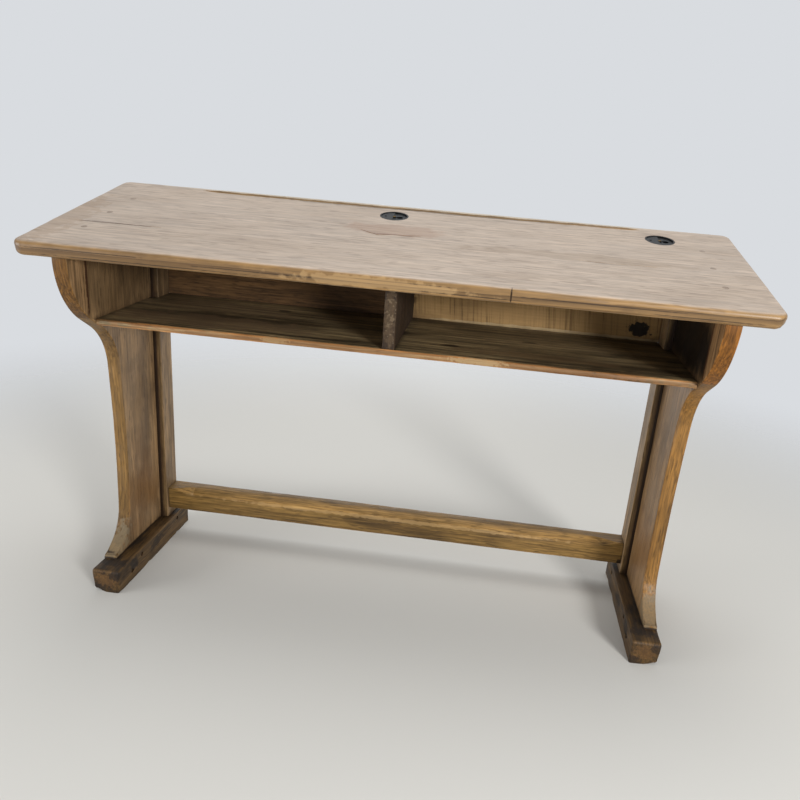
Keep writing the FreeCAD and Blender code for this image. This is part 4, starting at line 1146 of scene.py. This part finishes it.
@dataclass
class WritingTop:
    """The sloping top of two boards, tongued together."""

    front_edge: Triple = (0.0, -0.182669, 0.654)
    front_end_mm: float = 113.0
    rear_start_mm: float = 117.0
    inkwells_mm: tuple[Triple, ...] = ((-34.0, 299.0, 30.0), (451.0, 299.0, 30.0))
    plug_rows_mm: tuple[float, ...] = (90.0, 173.0, 258.0)
    plug_x_mm: float = 517.5
    plug_reach_mm: float = 7.0
    whole_corner_mm: Triple = (-590.0, 0.0, 16.0)
    slit_mm: tuple[float, ...] = (189.2, 190.0, 190.8)
    edge_lines: tuple[Triple, ...] = (
        (-0.47, 0.646, 0.11),
        (-0.36, 0.636, 0.20),
        (-0.16, 0.641, 0.17),
        (0.02, 0.647, 0.10),
        (0.10, 0.637, 0.12),
        (0.32, 0.643, 0.16),
        (0.47, 0.637, 0.10),
    )

    def build(self, nodes: Nodes) -> list[Item]:
        """Build both boards.

        Args:
            nodes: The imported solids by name.

        Returns:
            The boards.
        """
        wood = replace(WAXED_OAK, patches=(*self._face_marks(), *self._edge_marks(), *self._line_marks()))
        front = replace(wood, pith=(-0.05, -0.61), ring_mm=8.0)
        rear = replace(wood, pith=(-0.25, -0.60), edge="#957c58")
        place = {"grain": Grain.ALONG_X, "origin": self.front_edge, "tilt": TOP_SLOPE}
        boards = (
            Board("top_front_board", front, wear=self._front_wear(), seed=1.0, **place),
            Board("top_rear_board", rear, wear=self._rear_wear(), seed=2.4, **place),
        )
        return [board.build(nodes) for board in boards]

    def _plugs_mm(self) -> tuple[Triple, ...]:
        """Return the places of the plugs, where the boards stay sound."""
        ends = (-self.plug_x_mm, self.plug_x_mm)
        return tuple((x, row, self.plug_reach_mm) for x in ends for row in self.plug_rows_mm)

    def _front_wear(self) -> Wear:
        """Return the front board's wear: chips, a slit and rubbed stretches along its front edge.

        Returns:
            The wear.
        """
        return Wear(
            step_mm=(9.0, 14.0, 0.0),
            sway_mm=0.5,
            nick_mm=1.5,
            nick_span_mm=34.0,
            # A deep chip, the slit, a shallow chip, a nick, a rubbed stretch and a blunted right corner.
            dents=(
                Dent((-111.0, 2.0, -3.0), (16.0, 14.0, 9.0), 3.2),
                Dent((190.0, 0.0, -11.0), (0.7, 12.0, 12.0), 5.0),
                Dent((70.0, 3.0, -2.0), (30.0, 12.0, 8.0), 1.6),
                Dent((-351.0, 0.0, -12.0), (5.0, 8.0, 16.0), 1.6),
                Dent((330.0, 2.0, -2.0), (46.0, 10.0, 7.0), 1.8),
                Dent((586.0, 12.0, -20.0), (16.0, 24.0, 12.0), 2.2),
            ),
            cuts_mm=self.slit_mm,
            sound_mm=(*self._plugs_mm(), self.whole_corner_mm),
            free_mm=(OPEN, (-INF, self.front_end_mm), OPEN),
        )

    def _rear_wear(self) -> Wear:
        """Return the rear board's wear: three splits along the grain.

        Returns:
            The wear.
        """
        return Wear(
            step_mm=(12.0, 16.0, 0.0),
            sway_mm=0.45,
            nick_mm=1.0,
            nick_span_mm=40.0,
            # A lifted splinter in the middle, a fine split at the right, and the open seam at the left.
            cracks=(
                Crack(((-79.0, 206.0), (-49.0, 189.0), (27.0, 199.0)), 1.3, 2.4),
                Crack(((300.0, 151.0), (366.0, 152.0), (420.0, 154.0)), 1.0, 1.6),
                Crack(((-545.0, 117.5), (-480.0, 118.2), (-400.0, 119.5)), 1.1, 2.6),
            ),
            sound_mm=self.inkwells_mm + self._plugs_mm(),
            free_mm=(OPEN, (self.rear_start_mm, INF), OPEN),
        )

    def _face_marks(self) -> tuple[Patch, ...]:
        """Return the stains on the writing face.

        Returns:
            The patches.
        """
        return (
            Patch((-0.02, 0.03, 0.705), (0.10, 0.035, 0.05), "#8d6446", 0.35, 0.6, 30.0),
            Patch((-0.57, -0.06, 0.68), (0.035, 0.16, 0.06), "#8f7150", 0.35, 1.1, 14.0),
            Patch((0.30, -0.02, 0.69), (0.22, 0.02, 0.05), "#8f7a63", 0.4, 0.7, 40.0),
        )

    def _edge_marks(self) -> tuple[Patch, ...]:
        """Return the marks on the front edge: slit, brown stretch and corner, dark lines, pale chips.

        Returns:
            The patches.
        """
        return (
            Patch((0.190, -0.180, 0.643), (0.0016, 0.012, 0.014), "#1d130b", 0.9, 0.2, 6.0),
            Patch((-0.40, -0.180, 0.641), (0.34, 0.012, 0.018), "#54391a", 0.3, 0.6, 24.0, 0.6),
            Patch((-0.592, -0.172, 0.646), (0.03, 0.022, 0.016), "#5f4324", 0.7, 0.4, 20.0, 0.6),
            *(
                Patch((x, -0.179, z), (reach, 0.012, 0.0011), "#2a1a0c", 0.75, 0.5, 10.0)
                for x, z, reach in self.edge_lines
            ),
            Patch((-0.02, -0.183, 0.641), (0.16, 0.012, 0.012), "#cfab78", 0.3, 0.9, 14.0),
        )

    def _line_marks(self) -> tuple[Patch, ...]:
        """Return the dirt in two splits, and on the pen groove a painted highlight on its lip, painted shade
        with dirt in its bottom, and painted shade with dirt along its front edge.

        Returns:
            The patches.
        """
        return (
            Patch((-0.480, -0.0672, 0.6823), (0.07, 0.0022, 0.004), "#3a2817", 0.8, 0.5, 9.0),
            Patch((-0.02, 0.0048, 0.6999), (0.055, 0.0018, 0.004), "#5a3a26", 0.7, 0.5, 9.0),
            # Pen groove: a painted highlight on its lip, and painted shade with dirt in its bottom and along
            # its front edge.
            Patch((0.0, 0.1690, 0.7400), (0.62, 0.0095, 0.0035), "#c4b8a4", 0.75, 0.3, 20.0),
            Patch((0.0, 0.1604, 0.7328), (0.5, 0.0062, 0.0032), "#43341f", 0.85, 0.25, 12.0),
            Patch((0.0, 0.1500, 0.7354), (0.41, 0.0058, 0.01), "#544329", 0.8, 0.5, 12.0, 0.6),
        )


@dataclass
class EndFrame:
    """One end of the desk: curved board, nose strip, post and foot."""

    side: Side
    seed: float
    box_shade: float
    board_early: str
    nose_early: str
    front_edge: str
    board_middle: float = 0.5175
    inner_face: float = 0.505
    post_front: float = 0.0965
    foot_top: float = 0.0462
    foot_front: float = -0.132
    foot_inner: float = 0.48
    foot_outer_mm: float = 531.0

    def build(self, nodes: Nodes) -> list[Item]:
        """Build the four boards of this end.

        Args:
            nodes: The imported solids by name.

        Returns:
            The boards.
        """
        boards = (self._end_board(), self._nose(), self._post(), self._foot())
        return [board.build(nodes) for board in boards]

    def _end_board(self) -> Board:
        """Return the curved board, scuffed pale at its toe, with painted shade under it and in the book box.

        Returns:
            The board.
        """
        x, inside = self.side.value * self.board_middle, self.side.value * self.inner_face
        finish = replace(
            STAINED_OAK,
            early=self.board_early,
            edge=self.front_edge,
            tone=0.22,
            fibre=0.26,
            # A warm and a grey cloud, the scuffed toe, painted shade in the gap under the toe, painted shade
            # in the seam above the foot, painted shade inside the book box and a brown smear.
            patches=(
                Patch((inside, 0.02, 0.15), (0.008, 0.10, 0.12), "#6f4a24", 0.45, 0.8, 60.0, 0.8),
                Patch((inside, 0.0, 0.40), (0.008, 0.06, 0.11), "#6d5a45", 0.4, 0.8, 60.0, 0.8),
                Patch((x, -0.074, 0.078), (0.03, 0.046, 0.052), "#7d7059", 0.6, 0.9, 11.0),
                Patch((x, -0.088, self.foot_top), (0.03, 0.03, 0.0035), "#1a1009", 0.9, 0.5, 8.0),
                Patch((inside, 0.0, self.foot_top), (0.006, 0.14, 0.0042), "#140c06", 0.95, 0.3, 14.0),
                Patch((inside, 0.0, 0.58), (0.03, 0.23, 0.09), "#120b06", self.box_shade, 0.3, 40.0, 0.55),
                Patch((inside, 0.03, 0.30), (0.01, 0.05, 0.13), "#4f3a20", 0.25, 1.0, 30.0),
            ),
        )
        wear = Wear(
            step_mm=(0.0, 18.0, 14.0),
            sway_mm=0.5,
            nick_mm=1.3,
            nick_span_mm=36.0,
            dents=(Dent((x / MM, -86.0, 56.0), (22.0, 24.0, 18.0), 5.0),),
            free_mm=(OPEN, (-INF, 90.0), (44.0, 508.0)),
        )
        return Board(self.side.piece("end_board"), finish, Grain.ALONG_Z, wear, self.seed)

    def _nose(self) -> Board:
        """Return the strip glued on as the round front of the console, with its dark glue line.

        Returns:
            The board.
        """
        inside = self.side.value * self.inner_face
        finish = replace(
            STAINED_OAK,
            early=self.nose_early,
            late="#4c3014",
            edge=self.front_edge,
            shine=0.2,
            patches=(Patch((inside, -0.118, 0.59), (0.006, 0.006, 0.07), "#2c140a", 0.85, 0.5, 10.0),),
        )
        wear = Wear(step_mm=(0.0, 9.0, 9.0), nick_mm=1.1, free_mm=(OPEN, (-INF, -122.0), (44.0, 622.0)))
        return Board(self.side.piece("console_nose"), finish, Grain.ALONG_Z, wear, self.seed + 0.7)

    def _post(self) -> Board:
        """Return the rear post, dark along the seam to the end board.

        Returns:
            The board.
        """
        sign, front = self.side.value, self.post_front
        finish = replace(
            STAINED_OAK,
            pith=(0.1, 0.22),
            early="#7f6744",
            late="#553f26",
            edge="#8a6b45",
            # A soft shade beside the seam, and the seam itself.
            patches=(
                Patch((sign * 0.503, front, 0.3), (0.012, 0.005, 0.5), "#4a2f1b", 0.5, 0.4, 20.0, 0.7),
                Patch((sign * self.inner_face, front, 0.3), (0.0055, 0.005, 0.5), "#140b05", 0.95, 0.2, 14.0),
            ),
        )
        wear = Wear(step_mm=(0.0, 12.0, 16.0), sway_mm=0.5, nick_mm=1.1, free_mm=(OPEN, OPEN, (120.0, 512.0)))
        return Board(self.side.piece("post"), finish, Grain.ALONG_Z, wear, self.seed + 1.9)

    def _foot(self) -> Board:
        """Return the sledge foot, worn round at its outer corners and scarred in front.

        Returns:
            The board.
        """
        sign, front = self.side.value, self.foot_front
        outer, inner, middle = sign * self.foot_outer_mm, sign * self.foot_inner, sign * self.inner_face
        wear = Wear(
            step_mm=(9.0, 10.0, 9.0),
            sway_span_mm=80.0,
            nick_mm=2.4,
            nick_span_mm=26.0,
            # The blunted toe and heel.
            dents=(
                Dent((outer, -131.7, 4.0), (26.0, 26.0, 30.0), 7.0),
                Dent((outer, 172.0, 40.0), (24.0, 26.0, 26.0), 4.0),
            ),
        )
        # Bare and dark spots in front, damp stains on the inner side, and painted shade on the foot's top
        # under the end board's toe.
        scars = (
            Patch((middle, front, 0.026), (0.026, 0.006, 0.016), "#6d4c28", 0.35, 1.4, 6.0),
            Patch((middle + 0.02, front, 0.036), (0.014, 0.006, 0.012), "#1c120a", 0.75, 0.9, 7.0),
            Patch((middle - 0.02, front, 0.008), (0.016, 0.006, 0.010), "#1c120a", 0.7, 0.9, 7.0),
            Patch((inner, -0.07, 0.03), (0.006, 0.02, 0.014), "#120b06", 0.8, 0.9, 9.0),
            Patch((inner, 0.02, 0.03), (0.006, 0.03, 0.010), "#120b06", 0.7, 1.0, 9.0),
            Patch((middle, -0.10, 0.046), (0.03, 0.016, 0.006), "#191009", 0.7, 1.0, 8.0),
        )
        finish = replace(SCUFFED_OAK, patches=scars)
        return Board(self.side.piece("foot"), finish, Grain.ALONG_Y, wear, self.seed + 3.1)


@dataclass
class BookBox:
    """The open box for books: shelf, divider and back boards."""

    shelf_front: Triple = (0.0, -0.100669, 0.523)
    lip_front: float = -0.1007
    divider_front: float = -0.0977
    back_front: float = 0.144
    back_span_mm: Pair = (18.0, 483.0)
    back_height_mm: Pair = (540.0, 700.0)

    def build(self, nodes: Nodes) -> list[Item]:
        """Build the boards of the box.

        Args:
            nodes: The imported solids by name.

        Returns:
            The boards.
        """
        boards = (self._front_shelf(), self._rear_shelf(), self._divider(), *self._back_boards())
        return [board.build(nodes) for board in boards]

    def _shelf(self, node: str, finish: WoodFinish, wear: Wear, seed: float) -> Board:
        """Return one board of the sloping shelf."""
        return Board(node, finish, Grain.ALONG_X, wear, seed, self.shelf_front, SHELF_SLOPE)

    def _front_shelf(self) -> Board:
        """Return the front board of the shelf, its lip hollowed by books.

        Returns:
            The board.
        """
        lip = self.lip_front
        finish = replace(
            DARK_ELM,
            # The lip, rubbed and with a painted highlight along it, two bare hollows, a knot, and the paler
            # faces where books slide, partly a painted sheen.
            patches=(
                Patch((0.0, lip, 0.5175), (0.6, 0.005, 0.0075), "#98683c", 0.45, 0.6, 16.0),
                Patch((0.150, lip, 0.519), (0.055, 0.006, 0.008), "#ab9068", 0.7, 1.0, 5.0),
                Patch((-0.191, lip, 0.519), (0.024, 0.006, 0.008), "#9c7f58", 0.7, 1.0, 5.0),
                Patch((0.099, -0.034, 0.526), (0.02, 0.008, 0.01), "#1a110a", 0.85, 0.4, 8.0),
                Patch((0.26, -0.05, 0.525), (0.16, 0.02, 0.01), "#6a543a", 0.5, 0.7, 30.0),
                Patch((-0.33, -0.04, 0.525), (0.20, 0.05, 0.02), "#77614a", 0.5, 0.7, 30.0),
            ),
        )
        wear = Wear(
            step_mm=(9.0, 16.0, 0.0),
            sway_mm=0.5,
            nick_mm=1.3,
            nick_span_mm=24.0,
            dents=(
                Dent((-191.0, 0.0, -2.0), (26.0, 9.0, 9.0), 3.0),
                Dent((150.0, 0.0, -3.0), (60.0, 8.0, 8.0), 3.2),
                Dent((-420.0, 0.0, -2.0), (40.0, 8.0, 8.0), 1.8),
                Dent((400.0, 0.0, -2.0), (50.0, 8.0, 8.0), 2.0),
            ),
            free_mm=((-498.0, 498.0), (-INF, 128.0), OPEN),
        )
        return self._shelf("shelf_front_board", finish, wear, seed=5.2)

    def _rear_shelf(self) -> Board:
        """Return the rear board of the shelf, with knots and painted shade at its back.

        Returns:
            The board.
        """
        finish = replace(
            DARK_ELM,
            pith=(0.4, -0.2),
            # Two knots, a pale streak, painted shade at the back of both compartments, and a paler left
            # end with a painted sheen.
            patches=(
                Patch((0.240, 0.037, 0.528), (0.016, 0.008, 0.01), "#150d07", 0.9, 0.4, 8.0),
                Patch((-0.233, 0.089, 0.529), (0.014, 0.007, 0.01), "#150d07", 0.9, 0.4, 8.0),
                Patch((0.30, 0.034, 0.528), (0.2, 0.006, 0.01), "#7a664c", 0.6, 0.6, 20.0),
                Patch((0.27, 0.10, 0.53), (0.26, 0.07, 0.03), "#120b06", 0.5, 0.4, 40.0, 0.8),
                Patch((-0.13, 0.08, 0.53), (0.13, 0.08, 0.03), "#120b06", 0.2, 0.4, 40.0, 0.8),
                Patch((-0.36, 0.06, 0.53), (0.16, 0.06, 0.03), "#77614a", 0.35, 0.7, 30.0),
            ),
        )
        wear = Wear(
            step_mm=(16.0, 18.0, 0.0),
            sway_mm=0.5,
            nick_mm=0.5,
            free_mm=((-480.0, 480.0), (134.0, 236.0), OPEN),
        )
        return self._shelf("shelf_rear_board", finish, wear, seed=6.8)

    def _divider(self) -> Board:
        """Return the divider, paler along its front edge: rubbed, and a painted highlight there.

        Returns:
            The board.
        """
        front = self.divider_front
        finish = replace(
            SAWN_DEAL,
            # Paler front edge: partly rubbed, partly a painted highlight where the light falls on it.
            patches=(
                Patch((0.0, front - 0.002, 0.58), (0.014, 0.004, 0.09), "#5c4a35", 0.5, 0.6, 8.0),
                Patch((0.002, front - 0.0038, 0.585), (0.014, 0.004, 0.08), "#837159", 0.42, 1.3, 4.5),
            ),
        )
        wear = Wear(
            step_mm=(0.0, 12.0, 9.0),
            sway_mm=0.6,
            nick_mm=2.0,
            nick_span_mm=16.0,
            free_mm=(OPEN, (-INF, 120.0), (526.0, 640.0)),
        )
        return Board("divider", finish, Grain.ALONG_Z, wear, seed=7.7)

    def _back_boards(self) -> tuple[Board, Board]:
        """Return the back boards: an old stained one, and a newer one with an ink blot and a pale foot.

        Returns:
            The left and the right board.
        """
        pale = replace(
            BARE_DEAL,
            patches=(
                Patch((0.451, self.back_front, 0.554), (0.024, 0.008, 0.016), "#0b0d12", 0.95, 1.1, 9.0),
                Patch((0.30, self.back_front, 0.5335), (0.30, 0.008, 0.0045), "#cbb58c", 0.6, 0.4, 14.0),
            ),
        )
        near, far = self.back_span_mm
        wear = Wear(
            step_mm=(18.0, 0.0, 14.0),
            sway_mm=0.3,
            nick_mm=0.3,
            free_mm=((near, far), OPEN, self.back_height_mm),
            square_mm=2.5,
        )
        left_wear = replace(wear, free_mm=((-far, -near), OPEN, self.back_height_mm))
        return (
            Board(Side.LEFT.piece("back_board"), STAINED_DEAL, Grain.ALONG_X, left_wear, seed=8.3),
            Board(Side.RIGHT.piece("back_board"), pale, Grain.ALONG_X, wear, seed=9.6),
        )


@dataclass
class FootRail:
    """The rail between the posts, polished and hollowed by shoes."""

    node: str = "foot_rail"
    worn_edge_mm: Pair = (112.0, 110.0)
    hollows_mm: tuple[Triple, ...] = ((-230.0, 190.0, 3.0), (60.0, 150.0, 2.0), (270.0, 170.0, 3.4))

    def build(self, nodes: Nodes) -> list[Item]:
        """Build the rail.

        Args:
            nodes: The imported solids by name.

        Returns:
            The rail, as a list of one.
        """
        wear = Wear(
            step_mm=(10.0, 9.0, 9.0),
            sway_mm=0.9,
            sway_span_mm=120.0,
            nick_mm=1.8,
            nick_span_mm=40.0,
            dents=tuple(
                Dent((x, *self.worn_edge_mm), (reach, 30.0, 20.0), depth)
                for x, reach, depth in self.hollows_mm
            ),
        )
        finish = replace(
            RUBBED_OAK,
            # A nail hole at the right, and the polished edge with a painted highlight along it.
            patches=(
                Patch((0.487, 0.104, 0.068), (0.006, 0.006, 0.006), "#150d07", 0.9, 0.3, 4.0),
                Patch((0.0, 0.108, 0.099), (0.44, 0.006, 0.004), "#c8a673", 0.3, 0.8, 12.0),
            ),
        )
        return [Board(self.node, finish, Grain.ALONG_X, wear, seed=11.3).build(nodes)]


@dataclass
class Fittings:
    """Inkwells, screws, plugs and pegs, whose solids are shown as they are."""

    caps: tuple[str, ...] = tuple(side.piece("inkwell_cap") for side in Side)
    shutters: tuple[str, ...] = tuple(side.piece("inkwell_shutter") for side in Side)
    pots: tuple[str, ...] = tuple(side.piece("inkwell_pot") for side in Side)
    rivets: tuple[str, ...] = tuple(side.piece("inkwell_rivet") for side in Side)
    screws: tuple[str, ...] = ("top_screws", "back_screws", "shelf_screws")
    plugs: tuple[str, ...] = ("top_plugs",)
    pegs: tuple[str, ...] = ("rail_pegs", "foot_pegs")

    def build(self, nodes: Nodes) -> list[Item]:
        """Dress the fittings.

        Args:
            nodes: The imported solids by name.

        Returns:
            The fittings.
        """
        dressing = (
            (PHENOLIC.material(), self.caps + self.shutters),
            (INKY_GLASS.material(), self.pots),
            (TARNISHED_BRASS.material(), self.rivets),
            (BROWNED_STEEL.material(), self.screws),
            (END_GRAIN_OAK.material("plugs", Grain.ALONG_Z, TOP_SLOPE, 0.4), self.plugs),
            (PEG_OAK.material("pegs", Grain.ALONG_X, 0.0, 0.9), self.pegs),
        )
        items = []
        for material, names in dressing:
            for name in names:
                dress(nodes[name], material)
                items.append(nodes[name])
        return items


# Studio


@dataclass(frozen=True)
class Lamp:
    """A soft box that looks at the middle of the desk."""

    name: str
    place: Triple
    width: float
    height: float
    power: float
    target: Triple = (0.0, 0.0, 0.45)

    def build(self) -> Item:
        """Hang the lamp.

        Returns:
            The lamp.
        """
        light = bpy.data.lights.new(self.name, "AREA")
        light.shape, light.size, light.size_y, light.energy = "ELLIPSE", self.width, self.height, self.power
        lamp = bpy.data.objects.new(self.name, light)
        lamp.location = self.place
        aim = Vector(self.target) - Vector(self.place)
        lamp.rotation_euler = aim.to_track_quat("-Z", "Y").to_euler()
        put(lamp)
        return lamp


@dataclass
class Studio:
    """Floor, light and camera."""

    floor_colour: str = "#d6d4ce"
    floor_radius: float = 2.6
    floor_fade: Pair = (0.9, 2.34)
    back_colour: str = "#d9dce0"
    light_colour: str = "#eef1f5"
    light_strength: float = 0.34
    camera_place: Triple = (0.16195, -1.20195, 0.8019)
    camera_turn: Triple = (71.519, -4.7145, 5.9103)
    lens_mm: float = 30.995
    sensor_mm: float = 36.0
    shift: Pair = (-0.03747, 0.00682)
    lamps: tuple[Lamp, ...] = (
        Lamp("key", (1.9, -2.5, 1.15), 0.8, 0.8, 86.0),
        Lamp("fill", (-2.4, -1.2, 0.5), 1.6, 0.7, 34.0),
        Lamp("over", (0.0, 0.4, 2.9), 2.4, 2.4, 34.0),
        Lamp("rear", (-0.4, 2.6, 0.62), 2.2, 0.8, 14.0),
    )

    def build(self) -> list[Item]:
        """Set up the floor, the world, the lamps and the camera.

        Returns:
            The floor, the lamps and the camera.
        """
        self._world()
        bpy.context.scene.view_settings.view_transform = "Standard"
        return [self._floor(), *(lamp.build() for lamp in self.lamps), self._camera()]

    def _camera(self) -> Item:
        """Place the camera at the photograph's viewing angle.

        Returns:
            The camera.
        """
        lens = bpy.data.cameras.new("camera")
        lens.lens, lens.sensor_width = self.lens_mm, self.sensor_mm
        lens.shift_x, lens.shift_y = self.shift
        camera = bpy.data.objects.new("camera", lens)
        camera.location = self.camera_place
        camera.rotation_euler = [math.radians(angle) for angle in self.camera_turn]
        put(camera)
        bpy.context.scene.camera = camera
        return camera

    def _floor(self) -> Item:
        """Lay a pale round floor that fades into the background far out.

        Returns:
            The floor.
        """
        mesh = bmesh.new()
        bmesh.ops.create_circle(mesh, cap_ends=True, segments=96, radius=self.floor_radius)
        data = bpy.data.meshes.new("floor")
        mesh.to_mesh(data)
        mesh.free()
        floor = bpy.data.objects.new("floor", data)
        put(floor)
        # Cement screed with a pale matt paint: even, and without any gloss.
        material, tree = new_material("screed_painted")
        place = add_node(tree, "TexCoord").outputs["Object"]
        reach = add_node(tree, "VectorMath", {0: place}, operation="LENGTH").outputs["Value"]
        start, end = self.floor_fade
        far = add_node(
            tree,
            "MapRange",
            {"Value": reach, "From Min": start, "From Max": end},
            interpolation_type="SMOOTHSTEP",
        ).outputs[0]
        paint = {"Base Color": linear(self.floor_colour), "Roughness": 0.9}
        near = add_node(tree, "BsdfPrincipled", paint).outputs[0]
        clear = add_node(tree, "BsdfTransparent").outputs[0]
        close_material(tree, add_node(tree, "MixShader", {0: far, 1: near, 2: clear}).outputs[0])
        dress(floor, material)
        return floor

    def _world(self) -> None:
        """Light the room evenly, with a pale background for the eye and for reflections."""
        world = bpy.data.worlds.new("studio")
        bpy.context.scene.world = world
        world.use_nodes = True
        tree = world.node_tree
        tree.nodes.clear()
        path = add_node(tree, "LightPath").outputs
        seen = path["Is Camera Ray"]
        for ray in ("Is Transmission Ray", "Is Glossy Ray"):
            seen = add_node(tree, "Math", {0: seen, 1: path[ray]}, operation="MAXIMUM").outputs[0]
        glow = {"Color": linear(self.light_colour), "Strength": self.light_strength}
        light = add_node(tree, "Background", glow).outputs[0]
        back = add_node(tree, "Background", {"Color": linear(self.back_colour), "Strength": 1.0}).outputs[0]
        mixed = add_node(tree, "MixShader", {0: seen, 1: light, 2: back}).outputs[0]
        add_node(tree, "OutputWorld", {"Surface": mixed})


def main() -> None:
    """Build the desk's looks around its solids, then the studio, and report each piece."""
    logging.basicConfig(level=logging.INFO, format="%(name)s: %(message)s")
    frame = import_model()
    nodes = frame["nodes"]
    # The left end's wood is painted darker than the right end's as painted shade, and the painted shade
    # inside its book box is weaker, since its inner face is turned to the light from the right front.
    left = EndFrame(Side.LEFT, 3.3, 0.45, board_early="#7d5e31", nose_early="#6c4b22", front_edge="#8a6632")
    right = EndFrame(Side.RIGHT, 4.6, 1.0, board_early="#8f662f", nose_early="#8a581f", front_edge="#a06c30")
    boards: list[Item] = []
    for assembly in (WritingTop(), left, right, BookBox(), FootRail()):
        for board in assembly.build(nodes):
            LOG.info("%s: %s, %d faces", type(assembly).__name__, board.name, len(board.data.polygons))
            boards.append(board)
    fittings = Fittings()
    for fitting in fittings.build(nodes):
        LOG.info("Fittings: %s", fitting.name)
    # Store how sheltered each point is, for the painted shade in corners that also stands for dirt.
    NookShadeAndDirt().store_shelter(boards, [nodes[name] for name in fittings.caps])
    for item in Studio().build():
        LOG.info("Studio: %s", item.name)


if __name__ == "__main__":
    main()
